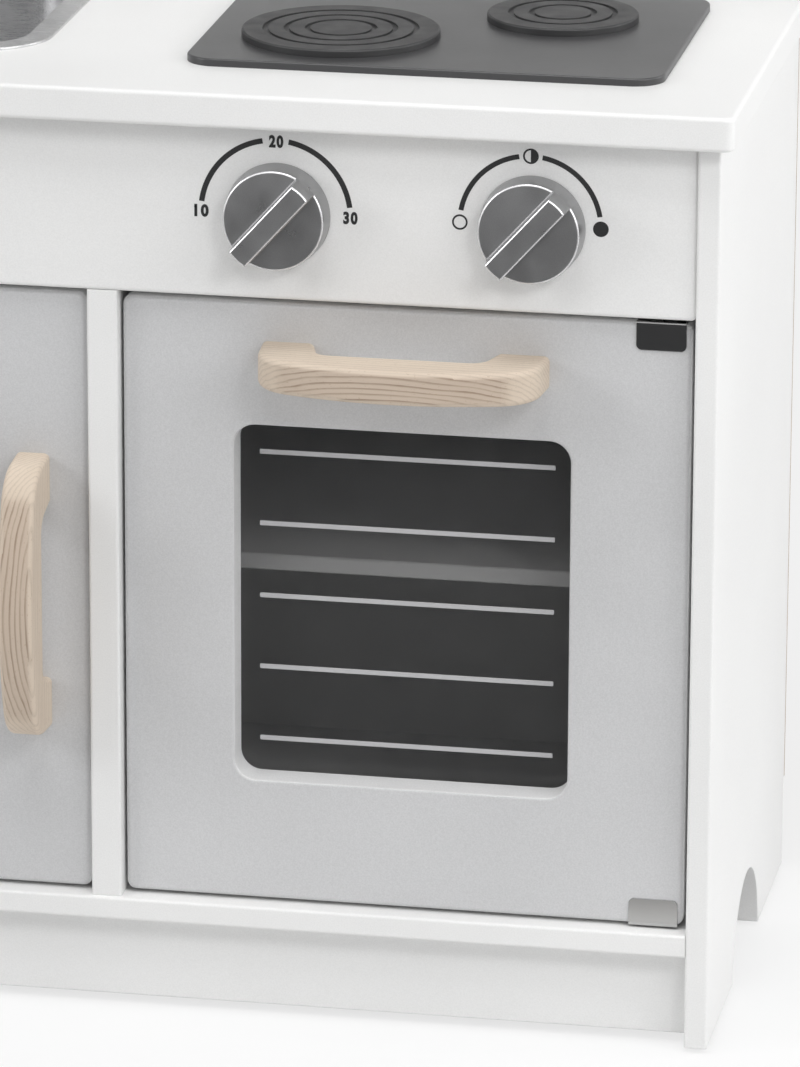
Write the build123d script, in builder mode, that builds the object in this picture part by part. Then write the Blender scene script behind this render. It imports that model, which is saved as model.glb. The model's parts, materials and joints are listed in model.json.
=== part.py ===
from build123d import *
import os

os.makedirs("parts", exist_ok=True)

# Driving dimensions in mm. X runs to the right, Y to the back and Z up. The origin lies on
# the floor, at the middle of the kitchen's width and of its overall depth.

# Carcass
bay_width = 302.0  # clear width of each of the two bays
bay_height = 332.0  # clear height of a bay
base_height = 65.0  # floor to the top of the base board
control_height = 93.4  # height of the control panel
board = 12.0  # side panels, base board, upper board and plinth
divider_thickness = 16.0
control_thickness = 9.0
back_thickness = 4.0
carcass_depth = 296.0  # side panels, without the back panel
arch_radius = 49.0  # half-round arch between the feet of a side panel
board_round = 1.5  # rounding of the visible front edges
control_round = 2.2
control_corner = 3.0

# Setbacks from the front edges of the side panels
divider_setback = 3.0
control_setback = 3.5
door_setback = 10.0
plinth_setback = 14.0
shelf_setback = 55.0

# Worktop
worktop_thickness = 18.0
worktop_front = 14.0  # overhang past the side panels' front edges
worktop_side = 8.0
worktop_corner = 6.0
worktop_round = 2.2

# Shelves in the bays
shelf_thickness = 9.0
shelf_height = 178.3  # base board to the top face of a shelf
shelf_side_gap = 0.5
shelf_back_gap = 1.0
shelf_pin_diameter = 5.0
shelf_pin_seat = 6.0
shelf_pin_reach = 8.0
shelf_pin_inset = 40.0

# Dowels
dowel_diameter = 6.0
dowel_seat = 8.0  # depth in a panel's face
dowel_length = 24.0
dowel_inset = 45.0  # from the front and back ends of a joint
top_dowel_seat = 10.0  # depth of the splashback's dowels in the worktop
top_dowel_xs = (-260.0, -100.0, 100.0, 260.0)
drill_clearance = 0.05  # radial, round dowels, pins and screws
bottom_clearance = 0.5  # past the end of a dowel, pin or screw

# Plinth and feet
plinth_floor_gap = 6.0
glide_height = 3.0
glide_width = 9.0
glide_length = 26.0
glide_corner = 3.0
glide_inset = 26.0  # middle of a glide from the front or back of the foot
glide_pin_diameter = 4.0
glide_pin_length = 6.0

# Doors
door_thickness = 18.0
door_gap_free = 1.5  # beside the divider
door_gap_pivot = 2.8  # beside the side panel
door_gap_bottom = 2.0
door_gap_top = 3.7
door_corner = 4.8
door_round = 2.5
door_back_round = 1.5

# Oven window
window_free_margin = 58.4
window_pivot_margin = 62.1
window_bottom_margin = 65.6
window_top_margin = 66.1
window_corner = 11.5
window_round = 1.2
pane_thickness = 2.5
pane_lap = 12.0
pane_corner = 9.0

# Door pivots
pivot_inset = 10.5  # pivot axis from the door's edge
pin_diameter = 4.0
pin_seat = 8.0
pin_reach = 8.0  # length inside the door
pin_running = 0.05  # radial clearance in a clip
pin_bore_clearance = 0.5  # radial clearance in the door
clip_width = 26.0
clip_height = 15.0
clip_edge = 2.8  # from the door's edge to the clip
clip_metal = 0.8
clip_fold = 0.7  # outer radius of a clip's folds
clip_corner = 3.0
clip_screw_reach = 19.5  # from a clip's pivot end to its screw
washer_diameter = 12.0
washer_play = 0.2

# Magnetic catches
catch_width = 30.0
catch_height = 18.0
catch_depth = 14.0
catch_inset = 10.0  # from the divider
strike_thickness = 1.0
strike_width = 22.0
strike_height = 10.0
strike_corner = 2.0
strike_drop = 2.5  # below the door's top edge
catch_play = 0.3
magnet_diameter = 9.0
magnet_length = 4.0

# Bow handles
handle_length = 145.6  # at the front corners
handle_flare = 2.4  # each end leans out by this towards the door
handle_width = 18.0
handle_depth = 45.5  # door face to the middle of the bow's front
handle_front_radius = 193.0
handle_corner = 25.0
handle_foot = 25.3
handle_gap_depth = 18.0
handle_gap_taper = 5.0
handle_gap_corner = 9.0
handle_round = 3.0
handle_inset = 29.6  # handle's middle line from the door's edge

# Control knobs
knob_spread = 132.2  # distance between the two knob axes
knob_height = 45.2  # above the control panel's lower edge
knob_base_diameter = 54.8
knob_front_diameter = 49.7  # across the grip's front
knob_face_height = 13.4
knob_grip_height = 12.0
knob_grip_foot = 12.0  # grip's width at the knob's face
knob_grip_width = 11.0
knob_grip_angle = 48.0
knob_edge = 0.75
knob_panel_gap = 0.4
knob_boss_diameter = 12.0
knob_running = 0.05
knob_play = 0.3  # between the panel's back and the washer
knob_washer_diameter = 22.0
knob_washer_thickness = 1.6

# Screws
screw_diameter = 4.0
screw_head_diameter = 8.0
screw_head_height = 2.2
screw_head_round = 0.7
small_screw_diameter = 3.0
small_head_diameter = 6.0
small_head_height = 1.6
screw_grip = 15.0  # handle screw inside the handle
small_screw_grip = 8.0
through_clearance = 0.2  # radial, where a screw passes through a piece

# Hob
hob_width = 250.0
hob_depth = 190.0
hob_thickness = 4.0
hob_corner = 16.0
hob_front = 44.0  # from the side panels' front edges
hob_edge = 1.0
burner_thickness = 4.0
large_burner_diameter = 104.0
small_burner_diameter = 80.0
burner_spread_x = 108.0
burner_spread_y = 58.0
burner_groove_width = 3.0
burner_groove_depth = 1.2
burner_groove_pitch = 11.0
burner_hub_diameter = 18.0
burner_edge = 1.0

# Sink
sink_width = 206.0
sink_depth = 56.0
sink_corner = 30.0
sink_floor_round = 14.0
sink_metal = 1.5
sink_rim = 11.0
sink_cut_clearance = 1.5
sink_front = 62.0  # from the side panels' front edges to the bowl
sink_lift = 60.0  # height that the bowl is lifted under the spout
drain_diameter = 38.0
drain_thickness = 2.0
drain_hole_diameter = 4.0
drain_hole_circle = 26.0
drain_hole_count = 6
drain_stub_diameter = 12.0
drain_stub_length = 5.0

# Tap
tap_wall_gap = 44.0  # from the splashback to the tap's axis
tap_sink_gap = 3.0  # from the sink's rim to the tap's flange
tap_flange_diameter = 44.0
tap_flange_height = 6.0
tap_flange_round = 2.0
tap_edge = 0.9
tap_column_diameter = 27.0
tap_column_height = 38.0
tap_stud_diameter = 12.0
tap_stud_drop = 14.0  # below the worktop
tap_nut_diameter = 26.0
tap_nut_height = 8.0
spout_diameter = 16.0
spout_seat = 30.0
spout_collar_diameter = 24.0
spout_collar_height = 7.0
spout_height = 122.0  # worktop to the middle of the spout's top run
spout_reach = 98.0
spout_bend = 30.0
spout_nozzle_diameter = 20.0
spout_nozzle_height = 14.0
spout_nozzle_recess = 4.7
spout_nozzle_gap = 13.5  # from the lifted bowl's rim to the nozzle
tap_running = 0.05
tap_play = 0.3
tap_knob_spread = 116.0
post_flange_diameter = 34.0
post_column_diameter = 20.0
post_height = 20.0
post_spindle_diameter = 8.0
post_spindle_height = 10.0
post_stud_length = 12.0
tap_hub_diameter = 22.0
tap_hub_height = 18.0
tap_hub_round = 1.8
tap_arm_diameter = 10.0
tap_arm_reach = 25.0
tap_arm_round = 3.3

# Upper part
splashback_height = 330.0
splashback_thickness = 12.0
splashback_corner = 24.0
splashback_round = 2.0
upper_shelf_depth = 104.0
upper_shelf_rise = 238.0  # worktop to the shelf's underside
bracket_height = 84.0
bracket_depth = 88.0
bracket_inset = 40.0
bracket_round = 1.5
anchor_spread = 440.0
anchor_diameter = 5.0
anchor_drop = 30.0  # below the splashback's top edge
peg_count = 5
peg_pitch = 52.0
peg_rise = 168.0
peg_shift = 150.0
peg_diameter = 9.0
peg_tip_diameter = 15.0
peg_reach = 42.0
peg_tip_length = 9.0
peg_tip_round = 2.4
peg_tenon_diameter = 7.0
peg_tenon_length = 8.0

# Corner blocks under the worktop
block_size = 20.0
block_length = 60.0
block_inset = 40.0
block_screw_length = 30.0

# Places worked out from the dimensions above
inner_x = bay_width + divider_thickness / 2
outer_x = inner_x + board
bay_middle = (bay_width + divider_thickness) / 2
handle_reach = handle_depth - door_setback
front = -(carcass_depth + back_thickness - handle_reach) / 2
back_inner = front + carcass_depth
back_outer = back_inner + back_thickness
middle_y = front + carcass_depth / 2
base_bottom = base_height - board
bay_top = base_height + bay_height
upper_top = bay_top + board
worktop_bottom = bay_top + control_height
worktop_top = worktop_bottom + worktop_thickness
shelf_top = base_height + shelf_height
shelf_bottom = shelf_top - shelf_thickness
door_front = front + door_setback
door_back = door_front + door_thickness
door_free_x = divider_thickness / 2 + door_gap_free
door_pivot_x = inner_x - door_gap_pivot
door_width = door_pivot_x - door_free_x
door_middle_x = (door_pivot_x + door_free_x) / 2
door_bottom = base_height + door_gap_bottom
door_top = bay_top - door_gap_top
door_height = door_top - door_bottom
door_middle_z = (door_top + door_bottom) / 2
pivot_x = door_pivot_x - pivot_inset
pivot_y = door_front + door_thickness / 2
control_back = front + control_setback + control_thickness
dowel_radius = dowel_diameter / 2 + drill_clearance
dowel_run = dowel_length - dowel_seat
joint_ys = (front + dowel_inset, back_inner - dowel_inset)
shelf_pin_ys = (front + shelf_setback + shelf_pin_inset, back_inner - shelf_pin_inset)
shelf_pin_z = shelf_bottom - shelf_pin_diameter / 2
glide_ys = (front + glide_inset, back_inner - glide_inset)
glide_spots = [(s * (inner_x + board / 2), y) for s in (-1, 1) for y in glide_ys]
dowel_rows = (base_height - board / 2, upper_top - board / 2)
splash_front = back_outer - splashback_thickness
top_dowels = [(x, splash_front + splashback_thickness / 2) for x in top_dowel_xs]
clip_middle_x = door_pivot_x - clip_edge - clip_width / 2
clip_screw_x = door_pivot_x - clip_edge - clip_screw_reach
catch_x = divider_thickness / 2 + catch_inset + catch_width / 2
strike_z = door_top - strike_drop - strike_height / 2
knob_xs = (bay_middle - knob_spread / 2, bay_middle + knob_spread / 2)
knob_z = bay_top + knob_height
hob_y = front + hob_front + hob_depth / 2
tap_y = splash_front - tap_wall_gap
sink_back = tap_y - tap_flange_diameter / 2 - tap_sink_gap - sink_rim
sink_length = sink_back - front - sink_front
sink_y = sink_back - sink_length / 2
tap_knob_xs = (-bay_middle - tap_knob_spread / 2, -bay_middle + tap_knob_spread / 2)
tap_column_top = worktop_top + tap_column_height
post_top = worktop_top + post_height
upper_shelf_bottom = worktop_top + upper_shelf_rise


def facing(y):
    """Upright plane across the kitchen, drawn on from the front, at depth y."""
    return Plane.XZ.offset(-y)


def circles(points, radius):
    """Round outlines of one size at the given points of a sketch."""
    with Locations(*points):
        Circle(radius)


# Side panels
shelf_pin_hole = shelf_pin_diameter / 2 + drill_clearance
for side, sign in (("left", -1), ("right", 1)):
    with BuildPart() as side_panel:
        with BuildSketch(Plane.YZ.offset(sign * inner_x)):
            with Locations((middle_y, (worktop_bottom + glide_height) / 2)):
                Rectangle(carcass_depth, worktop_bottom - glide_height)
            with Locations((middle_y, 0)):
                Circle(arch_radius, mode=Mode.SUBTRACT)
        extrude(amount=sign * board)
        front_edges = side_panel.edges().filter_by(Axis.Z).group_by(Axis.Y)[0]
        fillet(front_edges, board_round)
        with BuildSketch(Plane.YZ.offset(sign * inner_x)):
            circles([(y, z) for y in joint_ys for z in dowel_rows], dowel_radius)
        extrude(amount=sign * (dowel_seat + bottom_clearance), mode=Mode.SUBTRACT)
        with BuildSketch(Plane.YZ.offset(sign * inner_x)):
            circles([(y, shelf_pin_z) for y in shelf_pin_ys], shelf_pin_hole)
        extrude(amount=sign * (shelf_pin_seat + bottom_clearance), mode=Mode.SUBTRACT)
        with BuildSketch(Plane.XY.offset(glide_height)):
            circles([(sign * (inner_x + board / 2), y) for y in glide_ys],
                    glide_pin_diameter / 2 + drill_clearance)
        extrude(amount=glide_pin_length + bottom_clearance, mode=Mode.SUBTRACT)
    side_panel.part.label = f"side_panel_{side}"
    export_step(side_panel.part, f"parts/side_panel_{side}.step")

# Foot glides, each with its pin in the panel above
with BuildPart() as foot_glides:
    with BuildSketch():
        with Locations(*glide_spots):
            RectangleRounded(glide_width, glide_length, glide_corner)
    extrude(amount=glide_height)
    with BuildSketch(Plane.XY.offset(glide_height)):
        circles(glide_spots, glide_pin_diameter / 2)
    extrude(amount=glide_pin_length)
foot_glides.part.label = "foot_glides"
export_step(foot_glides.part, "parts/foot_glides.step")

# Base board
with BuildPart() as base_board:
    with BuildSketch(Plane.XY.offset(base_bottom)):
        with Locations((0, middle_y)):
            Rectangle(2 * inner_x, carcass_depth)
    extrude(amount=board)
    front_edges = base_board.edges().filter_by(Axis.X).group_by(Axis.Y)[0]
    fillet(front_edges, board_round)
    for sign in (-1, 1):
        with BuildSketch(Plane.YZ.offset(sign * inner_x)):
            circles([(y, base_height - board / 2) for y in joint_ys], dowel_radius)
        extrude(amount=-sign * (dowel_run + bottom_clearance), mode=Mode.SUBTRACT)
    with BuildSketch(Plane.XY.offset(base_height)):
        circles([(0, y) for y in joint_ys], dowel_radius)
    extrude(amount=-(dowel_seat + bottom_clearance), mode=Mode.SUBTRACT)
    with BuildSketch(Plane.XY.offset(base_height)):
        pin_seats = [(sign * pivot_x, pivot_y) for sign in (-1, 1)]
        circles(pin_seats, pin_diameter / 2 + drill_clearance)
    extrude(amount=-(pin_seat + bottom_clearance), mode=Mode.SUBTRACT)
base_board.part.label = "base_board"
export_step(base_board.part, "parts/base_board.step")

# Plinth, set back under the base board
with BuildPart() as plinth:
    with BuildSketch(Plane.XY.offset(plinth_floor_gap)):
        with Locations((0, front + plinth_setback + board / 2)):
            Rectangle(2 * inner_x, board)
    extrude(amount=base_bottom - plinth_floor_gap)
plinth.part.label = "plinth"
export_step(plinth.part, "parts/plinth.step")

# Divider between the bays
with BuildPart() as divider:
    depth = carcass_depth - divider_setback
    with BuildSketch(Plane.XY.offset(base_height)):
        with Locations((0, front + divider_setback + depth / 2)):
            Rectangle(divider_thickness, depth)
    extrude(amount=bay_height)
    front_edges = divider.edges().filter_by(Axis.Z).group_by(Axis.Y)[0]
    fillet(front_edges, board_round)
    for sign in (-1, 1):
        with BuildSketch(Plane.YZ.offset(sign * divider_thickness / 2)):
            circles([(y, shelf_pin_z) for y in shelf_pin_ys], shelf_pin_hole)
        extrude(amount=-sign * (shelf_pin_seat + bottom_clearance), mode=Mode.SUBTRACT)
    for z, way in ((base_height, 1), (bay_top, -1)):
        with BuildSketch(Plane.XY.offset(z)):
            circles([(0, y) for y in joint_ys], dowel_radius)
        extrude(amount=way * (dowel_run + bottom_clearance), mode=Mode.SUBTRACT)
divider.part.label = "divider"
export_step(divider.part, "parts/divider.step")

# Upper board: the ceiling of both bays, which carries the upper pivots
with BuildPart() as upper_board:
    depth = back_inner - control_back
    with BuildSketch(Plane.XY.offset(bay_top)):
        with Locations((0, control_back + depth / 2)):
            Rectangle(2 * inner_x, depth)
    extrude(amount=board)
    for sign in (-1, 1):
        with BuildSketch(Plane.YZ.offset(sign * inner_x)):
            circles([(y, upper_top - board / 2) for y in joint_ys], dowel_radius)
        extrude(amount=-sign * (dowel_run + bottom_clearance), mode=Mode.SUBTRACT)
    with BuildSketch(Plane.XY.offset(bay_top)):
        circles([(0, y) for y in joint_ys], dowel_radius)
    extrude(amount=dowel_seat + bottom_clearance, mode=Mode.SUBTRACT)
    with BuildSketch(Plane.XY.offset(bay_top)):
        pin_seats = [(sign * pivot_x, pivot_y) for sign in (-1, 1)]
        circles(pin_seats, pin_diameter / 2 + drill_clearance)
    extrude(amount=pin_seat + bottom_clearance, mode=Mode.SUBTRACT)
upper_board.part.label = "upper_board"
export_step(upper_board.part, "parts/upper_board.step")

# Dowels between the boards
with BuildPart() as carcass_dowels:
    for sign in (-1, 1):
        with BuildSketch(Plane.YZ.offset(sign * (inner_x + dowel_seat))):
            circles([(y, z) for y in joint_ys for z in dowel_rows], dowel_diameter / 2)
        extrude(amount=-sign * dowel_length)
    for z, way in ((base_height - dowel_seat, 1), (bay_top + dowel_seat, -1)):
        with BuildSketch(Plane.XY.offset(z)):
            circles([(0, y) for y in joint_ys], dowel_diameter / 2)
        extrude(amount=way * dowel_length)
    with BuildSketch(Plane.XY.offset(worktop_top - top_dowel_seat)):
        circles(top_dowels, dowel_diameter / 2)
    extrude(amount=dowel_length)
carcass_dowels.part.label = "carcass_dowels"
export_step(carcass_dowels.part, "parts/carcass_dowels.step")

# Control panel with a hole for each knob
with BuildPart() as control_panel:
    with BuildSketch(facing(control_back)):
        with Locations((0, (bay_top + worktop_bottom) / 2)):
            Rectangle(2 * inner_x, control_height)
        with Locations(*[(x, knob_z) for x in knob_xs]):
            Circle(knob_boss_diameter / 2 + knob_running, mode=Mode.SUBTRACT)
    extrude(amount=control_thickness)
    lower_corners = control_panel.edges().filter_by(Axis.Y).group_by(Axis.Z)[0]
    fillet(lower_corners, control_corner)
    lower_edge = control_panel.faces().sort_by(Axis.Y)[0].outer_wire().edges()
    lower_edge = lower_edge.sort_by(Axis.Z)[0]
    fillet(lower_edge, control_round)
control_panel.part.label = "control_panel"
export_step(control_panel.part, "parts/control_panel.step")

# Back panel behind both bays, held by small screws sunk in its face
back_screws = [(sign * (inner_x + board / 2), z) for sign in (-1, 1)
               for z in (base_height + board, bay_top - bay_height / 2, worktop_bottom - board)]
back_screws += [(sign * bay_middle, z) for sign in (-1, 1)
                for z in (base_height - board / 2, upper_top - board / 2)]
back_recess = small_head_height + through_clearance
with BuildPart() as back_panel:
    with BuildSketch(facing(back_outer)):
        with Locations((0, (base_bottom + worktop_bottom) / 2)):
            Rectangle(2 * outer_x, worktop_bottom - base_bottom)
        with Locations(*back_screws):
            Circle(small_screw_diameter / 2 + through_clearance, mode=Mode.SUBTRACT)
    extrude(amount=back_thickness)
    with BuildSketch(facing(back_outer)):
        circles(back_screws, small_head_diameter / 2 + through_clearance)
    extrude(amount=back_recess, mode=Mode.SUBTRACT)
back_panel.part.label = "back_panel"
export_step(back_panel.part, "parts/back_panel.step")

with BuildPart() as back_panel_screws:
    with BuildSketch(facing(back_outer - through_clearance)):
        circles(back_screws, small_head_diameter / 2)
    extrude(amount=small_head_height)
    with BuildSketch(facing(back_outer - back_recess)):
        circles(back_screws, small_screw_diameter / 2)
    extrude(amount=back_thickness + small_screw_grip)
back_panel_screws.part.label = "back_panel_screws"
export_step(back_panel_screws.part, "parts/back_panel_screws.step")

# A shelf in each bay, lying on four pins
shelf_depth = carcass_depth - shelf_setback - shelf_back_gap
for bay, sign in (("cupboard", -1), ("oven", 1)):
    with BuildPart() as shelf:
        with BuildSketch(Plane.XY.offset(shelf_bottom)):
            with Locations((sign * bay_middle, front + shelf_setback + shelf_depth / 2)):
                Rectangle(bay_width - 2 * shelf_side_gap, shelf_depth)
        extrude(amount=shelf_thickness)
        front_edges = shelf.edges().filter_by(Axis.X).group_by(Axis.Y)[0]
        fillet(front_edges, board_round)
    shelf.part.label = f"{bay}_shelf"
    export_step(shelf.part, f"parts/{bay}_shelf.step")

with BuildPart() as shelf_pins:
    for wall in (-inner_x, -divider_thickness / 2, divider_thickness / 2, inner_x):
        into = 1 if wall in (-divider_thickness / 2, inner_x) else -1
        with BuildSketch(Plane.YZ.offset(wall + into * shelf_pin_seat)):
            circles([(y, shelf_pin_z) for y in shelf_pin_ys], shelf_pin_diameter / 2)
        extrude(amount=-into * (shelf_pin_seat + shelf_pin_reach))
shelf_pins.part.label = "shelf_pins"
export_step(shelf_pins.part, "parts/shelf_pins.step")

# Pivot pins, two for each door, with a washer on the base board and one under the upper board
pivots = [(sign * pivot_x, pivot_y) for sign in (-1, 1)]
with BuildPart() as pivot_pins:
    with BuildSketch(Plane.XY.offset(base_height - pin_seat)):
        circles(pivots, pin_diameter / 2)
    extrude(amount=pin_seat + door_gap_bottom + pin_reach)
    with BuildSketch(Plane.XY.offset(bay_top + pin_seat)):
        circles(pivots, pin_diameter / 2)
    extrude(amount=-(pin_seat + door_gap_top + pin_reach))
pivot_pins.part.label = "pivot_pins"
export_step(pivot_pins.part, "parts/pivot_pins.step")

with BuildPart() as pivot_washers:
    for z, gap, way in ((base_height, door_gap_bottom, 1), (bay_top, door_gap_top, -1)):
        with BuildSketch(Plane.XY.offset(z)):
            with Locations(*pivots):
                Circle(washer_diameter / 2)
                Circle(pin_diameter / 2 + drill_clearance, mode=Mode.SUBTRACT)
        extrude(amount=way * (gap - clip_metal - washer_play))
pivot_washers.part.label = "pivot_washers"
export_step(pivot_washers.part, "parts/pivot_washers.step")

# Magnetic catches under the upper board, behind the free edge of each door
catch_front = door_back + strike_thickness + catch_play
catches = [(sign * catch_x, strike_z) for sign in (-1, 1)]
with BuildPart() as catch_blocks:
    with BuildSketch(facing(catch_front + catch_depth)):
        with Locations(*[(x, bay_top - catch_height / 2) for x, z in catches]):
            Rectangle(catch_width, catch_height)
    extrude(amount=catch_depth)
    with BuildSketch(facing(catch_front)):
        circles(catches, magnet_diameter / 2 + drill_clearance)
    extrude(amount=-magnet_length, mode=Mode.SUBTRACT)
catch_blocks.part.label = "catch_blocks"
export_step(catch_blocks.part, "parts/catch_blocks.step")

with BuildPart() as catch_magnets:
    with BuildSketch(facing(catch_front)):
        circles(catches, magnet_diameter / 2)
    extrude(amount=-magnet_length)
catch_magnets.part.label = "catch_magnets"
export_step(catch_magnets.part, "parts/catch_magnets.step")

# Oven window and the screws round it
window_width = door_width - window_free_margin - window_pivot_margin
window_height = door_height - window_bottom_margin - window_top_margin
window_x = door_free_x + window_free_margin + window_width / 2
window_z = door_bottom + window_bottom_margin + window_height / 2
pane_screw_x = window_width / 2 + pane_lap / 2
pane_screw_z = window_height / 2 - pane_corner
pane_screws = [(window_x + i * pane_screw_x, window_z + j * pane_screw_z)
               for i in (-1, 1) for j in (-1, 1)]
clip_screw_zs = (door_bottom + clip_height / 2, door_top - clip_height / 2)
handle_spread = (handle_length - handle_foot) / 2


def cut_pivot_bores(x):
    """Bores in a door's lower and upper edge for its pivot pins."""
    for z, way in ((door_bottom, 1), (door_top, -1)):
        with BuildSketch(Plane.XY.offset(z)) as bore:
            circles([(x, pivot_y)], pin_diameter / 2 + pin_bore_clearance)
        reach = way * (pin_reach + bottom_clearance)
        extrude(bore.sketch, amount=reach, mode=Mode.SUBTRACT)


def cut_from_back(points, radius, depth):
    """Round holes of one size and depth in a door's back."""
    with BuildSketch(facing(door_back)) as holes:
        circles(points, radius)
    extrude(holes.sketch, amount=depth, mode=Mode.SUBTRACT)


# Oven door
handle_z = door_top - handle_inset
handle_screws = [(door_middle_x + i * handle_spread, handle_z) for i in (-1, 1)]
with BuildPart() as oven_door:
    with BuildSketch(facing(door_back)):
        with Locations((door_middle_x, door_middle_z)):
            RectangleRounded(door_width, door_height, door_corner)
        with Locations((window_x, window_z)):
            RectangleRounded(window_width, window_height, window_corner, mode=Mode.SUBTRACT)
    extrude(amount=door_thickness)
    front_face = oven_door.faces().sort_by(Axis.Y)[0]
    fillet(front_face.outer_wire().edges(), door_round)
    front_face = oven_door.faces().sort_by(Axis.Y)[0]
    fillet(front_face.inner_wires()[0].edges(), window_round)
    back_face = oven_door.faces().sort_by(Axis.Y)[-1]
    fillet(back_face.outer_wire().edges(), door_back_round)
    cut_pivot_bores(pivot_x)
    cut_from_back(handle_screws, screw_diameter / 2 + through_clearance, door_thickness)
    pilot = small_screw_diameter / 2 + drill_clearance
    cut_from_back(pane_screws, pilot, small_screw_grip + bottom_clearance)
    clip_spots = [(clip_screw_x, z) for z in clip_screw_zs]
    cut_from_back(clip_spots, pilot, small_screw_grip + bottom_clearance)
oven_door.part.label = "oven_door"
export_step(oven_door.part, "parts/oven_door.step")

# Smoked pane on the back of the oven door
with BuildPart() as oven_pane:
    with BuildSketch(facing(door_back + pane_thickness)):
        with Locations((window_x, window_z)):
            RectangleRounded(window_width + 2 * pane_lap, window_height + 2 * pane_lap, pane_corner)
        with Locations(*pane_screws):
            Circle(small_screw_diameter / 2 + through_clearance, mode=Mode.SUBTRACT)
    extrude(amount=pane_thickness)
oven_pane.part.label = "oven_pane"
export_step(oven_pane.part, "parts/oven_pane.step")

# Small screws of the pane and of the oven door's clips
with BuildPart() as oven_small_screws:
    for points, seat in ((pane_screws, door_back + pane_thickness),
                         (clip_spots, door_back + clip_metal)):
        with BuildSketch(facing(seat + small_head_height)):
            circles(points, small_head_diameter / 2)
        extrude(amount=small_head_height)
        with BuildSketch(facing(seat)):
            circles(points, small_screw_diameter / 2)
        extrude(amount=seat - door_back + small_screw_grip)
oven_small_screws.part.label = "oven_small_screws"
export_step(oven_small_screws.part, "parts/oven_small_screws.step")

# Cupboard door, with its handle upright beside the free edge
cupboard_handle_x = -(door_free_x + handle_inset)
upright_screws = [(cupboard_handle_x, door_middle_z + i * handle_spread) for i in (-1, 1)]
with BuildPart() as cupboard_door:
    with BuildSketch(facing(door_back)):
        with Locations((-door_middle_x, door_middle_z)):
            RectangleRounded(door_width, door_height, door_corner)
    extrude(amount=door_thickness)
    fillet(cupboard_door.faces().sort_by(Axis.Y)[0].edges(), door_round)
    fillet(cupboard_door.faces().sort_by(Axis.Y)[-1].edges(), door_back_round)
    cut_pivot_bores(-pivot_x)
    cut_from_back(upright_screws, screw_diameter / 2 + through_clearance, door_thickness)
    left_clip_spots = [(-clip_screw_x, z) for z in clip_screw_zs]
    cut_from_back(left_clip_spots, pilot, small_screw_grip + bottom_clearance)
cupboard_door.part.label = "cupboard_door"
export_step(cupboard_door.part, "parts/cupboard_door.step")

with BuildPart() as cupboard_clip_screws:
    with BuildSketch(facing(door_back + clip_metal + small_head_height)):
        circles(left_clip_spots, small_head_diameter / 2)
    extrude(amount=small_head_height)
    with BuildSketch(facing(door_back + clip_metal)):
        circles(left_clip_spots, small_screw_diameter / 2)
    extrude(amount=clip_metal + small_screw_grip)
cupboard_clip_screws.part.label = "cupboard_clip_screws"
export_step(cupboard_clip_screws.part, "parts/cupboard_clip_screws.step")

# Metal clips folded round the pivot corners of both doors
for door, sign in (("oven", 1), ("cupboard", -1)):
    for place, edge_z, way in (("bottom", door_bottom, 1), ("top", door_top, -1)):
        with BuildPart() as clip:
            plate = clip_height - clip_metal
            with BuildSketch(Plane.YZ.offset(sign * clip_middle_x)):
                with Locations((pivot_y, edge_z + way * (plate - clip_metal) / 2)):
                    Rectangle(door_thickness + 2 * clip_metal, clip_height)
                with Locations((pivot_y, edge_z + way * plate / 2)):
                    Rectangle(door_thickness, plate, mode=Mode.SUBTRACT)
            extrude(amount=clip_width / 2, both=True)
            folds = clip.edges().filter_by(Axis.X).group_by(Axis.Z)[0 if way > 0 else -1]
            fillet(folds, clip_fold)
            free_corners = clip.edges().filter_by(Axis.Y).group_by(Axis.Z)[-1 if way > 0 else 0]
            fillet(free_corners, clip_corner)
            with BuildSketch(Plane.XY.offset(edge_z)):
                circles([(sign * pivot_x, pivot_y)], pin_diameter / 2 + pin_running)
            extrude(amount=-way * clip_metal, mode=Mode.SUBTRACT)
            with BuildSketch(facing(door_back)):
                spot = (sign * clip_screw_x, edge_z + way * clip_height / 2)
                circles([spot], small_screw_diameter / 2 + through_clearance)
            extrude(amount=-clip_metal, mode=Mode.SUBTRACT)
        clip.part.label = f"{door}_clip_{place}"
        export_step(clip.part, f"parts/{door}_clip_{place}.step")

# Strike plates for the magnets
for door, sign in (("oven", 1), ("cupboard", -1)):
    with BuildPart() as strike_plate:
        with BuildSketch(facing(door_back + strike_thickness)):
            with Locations((sign * catch_x, strike_z)):
                RectangleRounded(strike_width, strike_height, strike_corner)
        extrude(amount=strike_thickness)
    strike_plate.part.label = f"{door}_strike_plate"
    export_step(strike_plate.part, f"parts/{door}_strike_plate.step")

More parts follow.
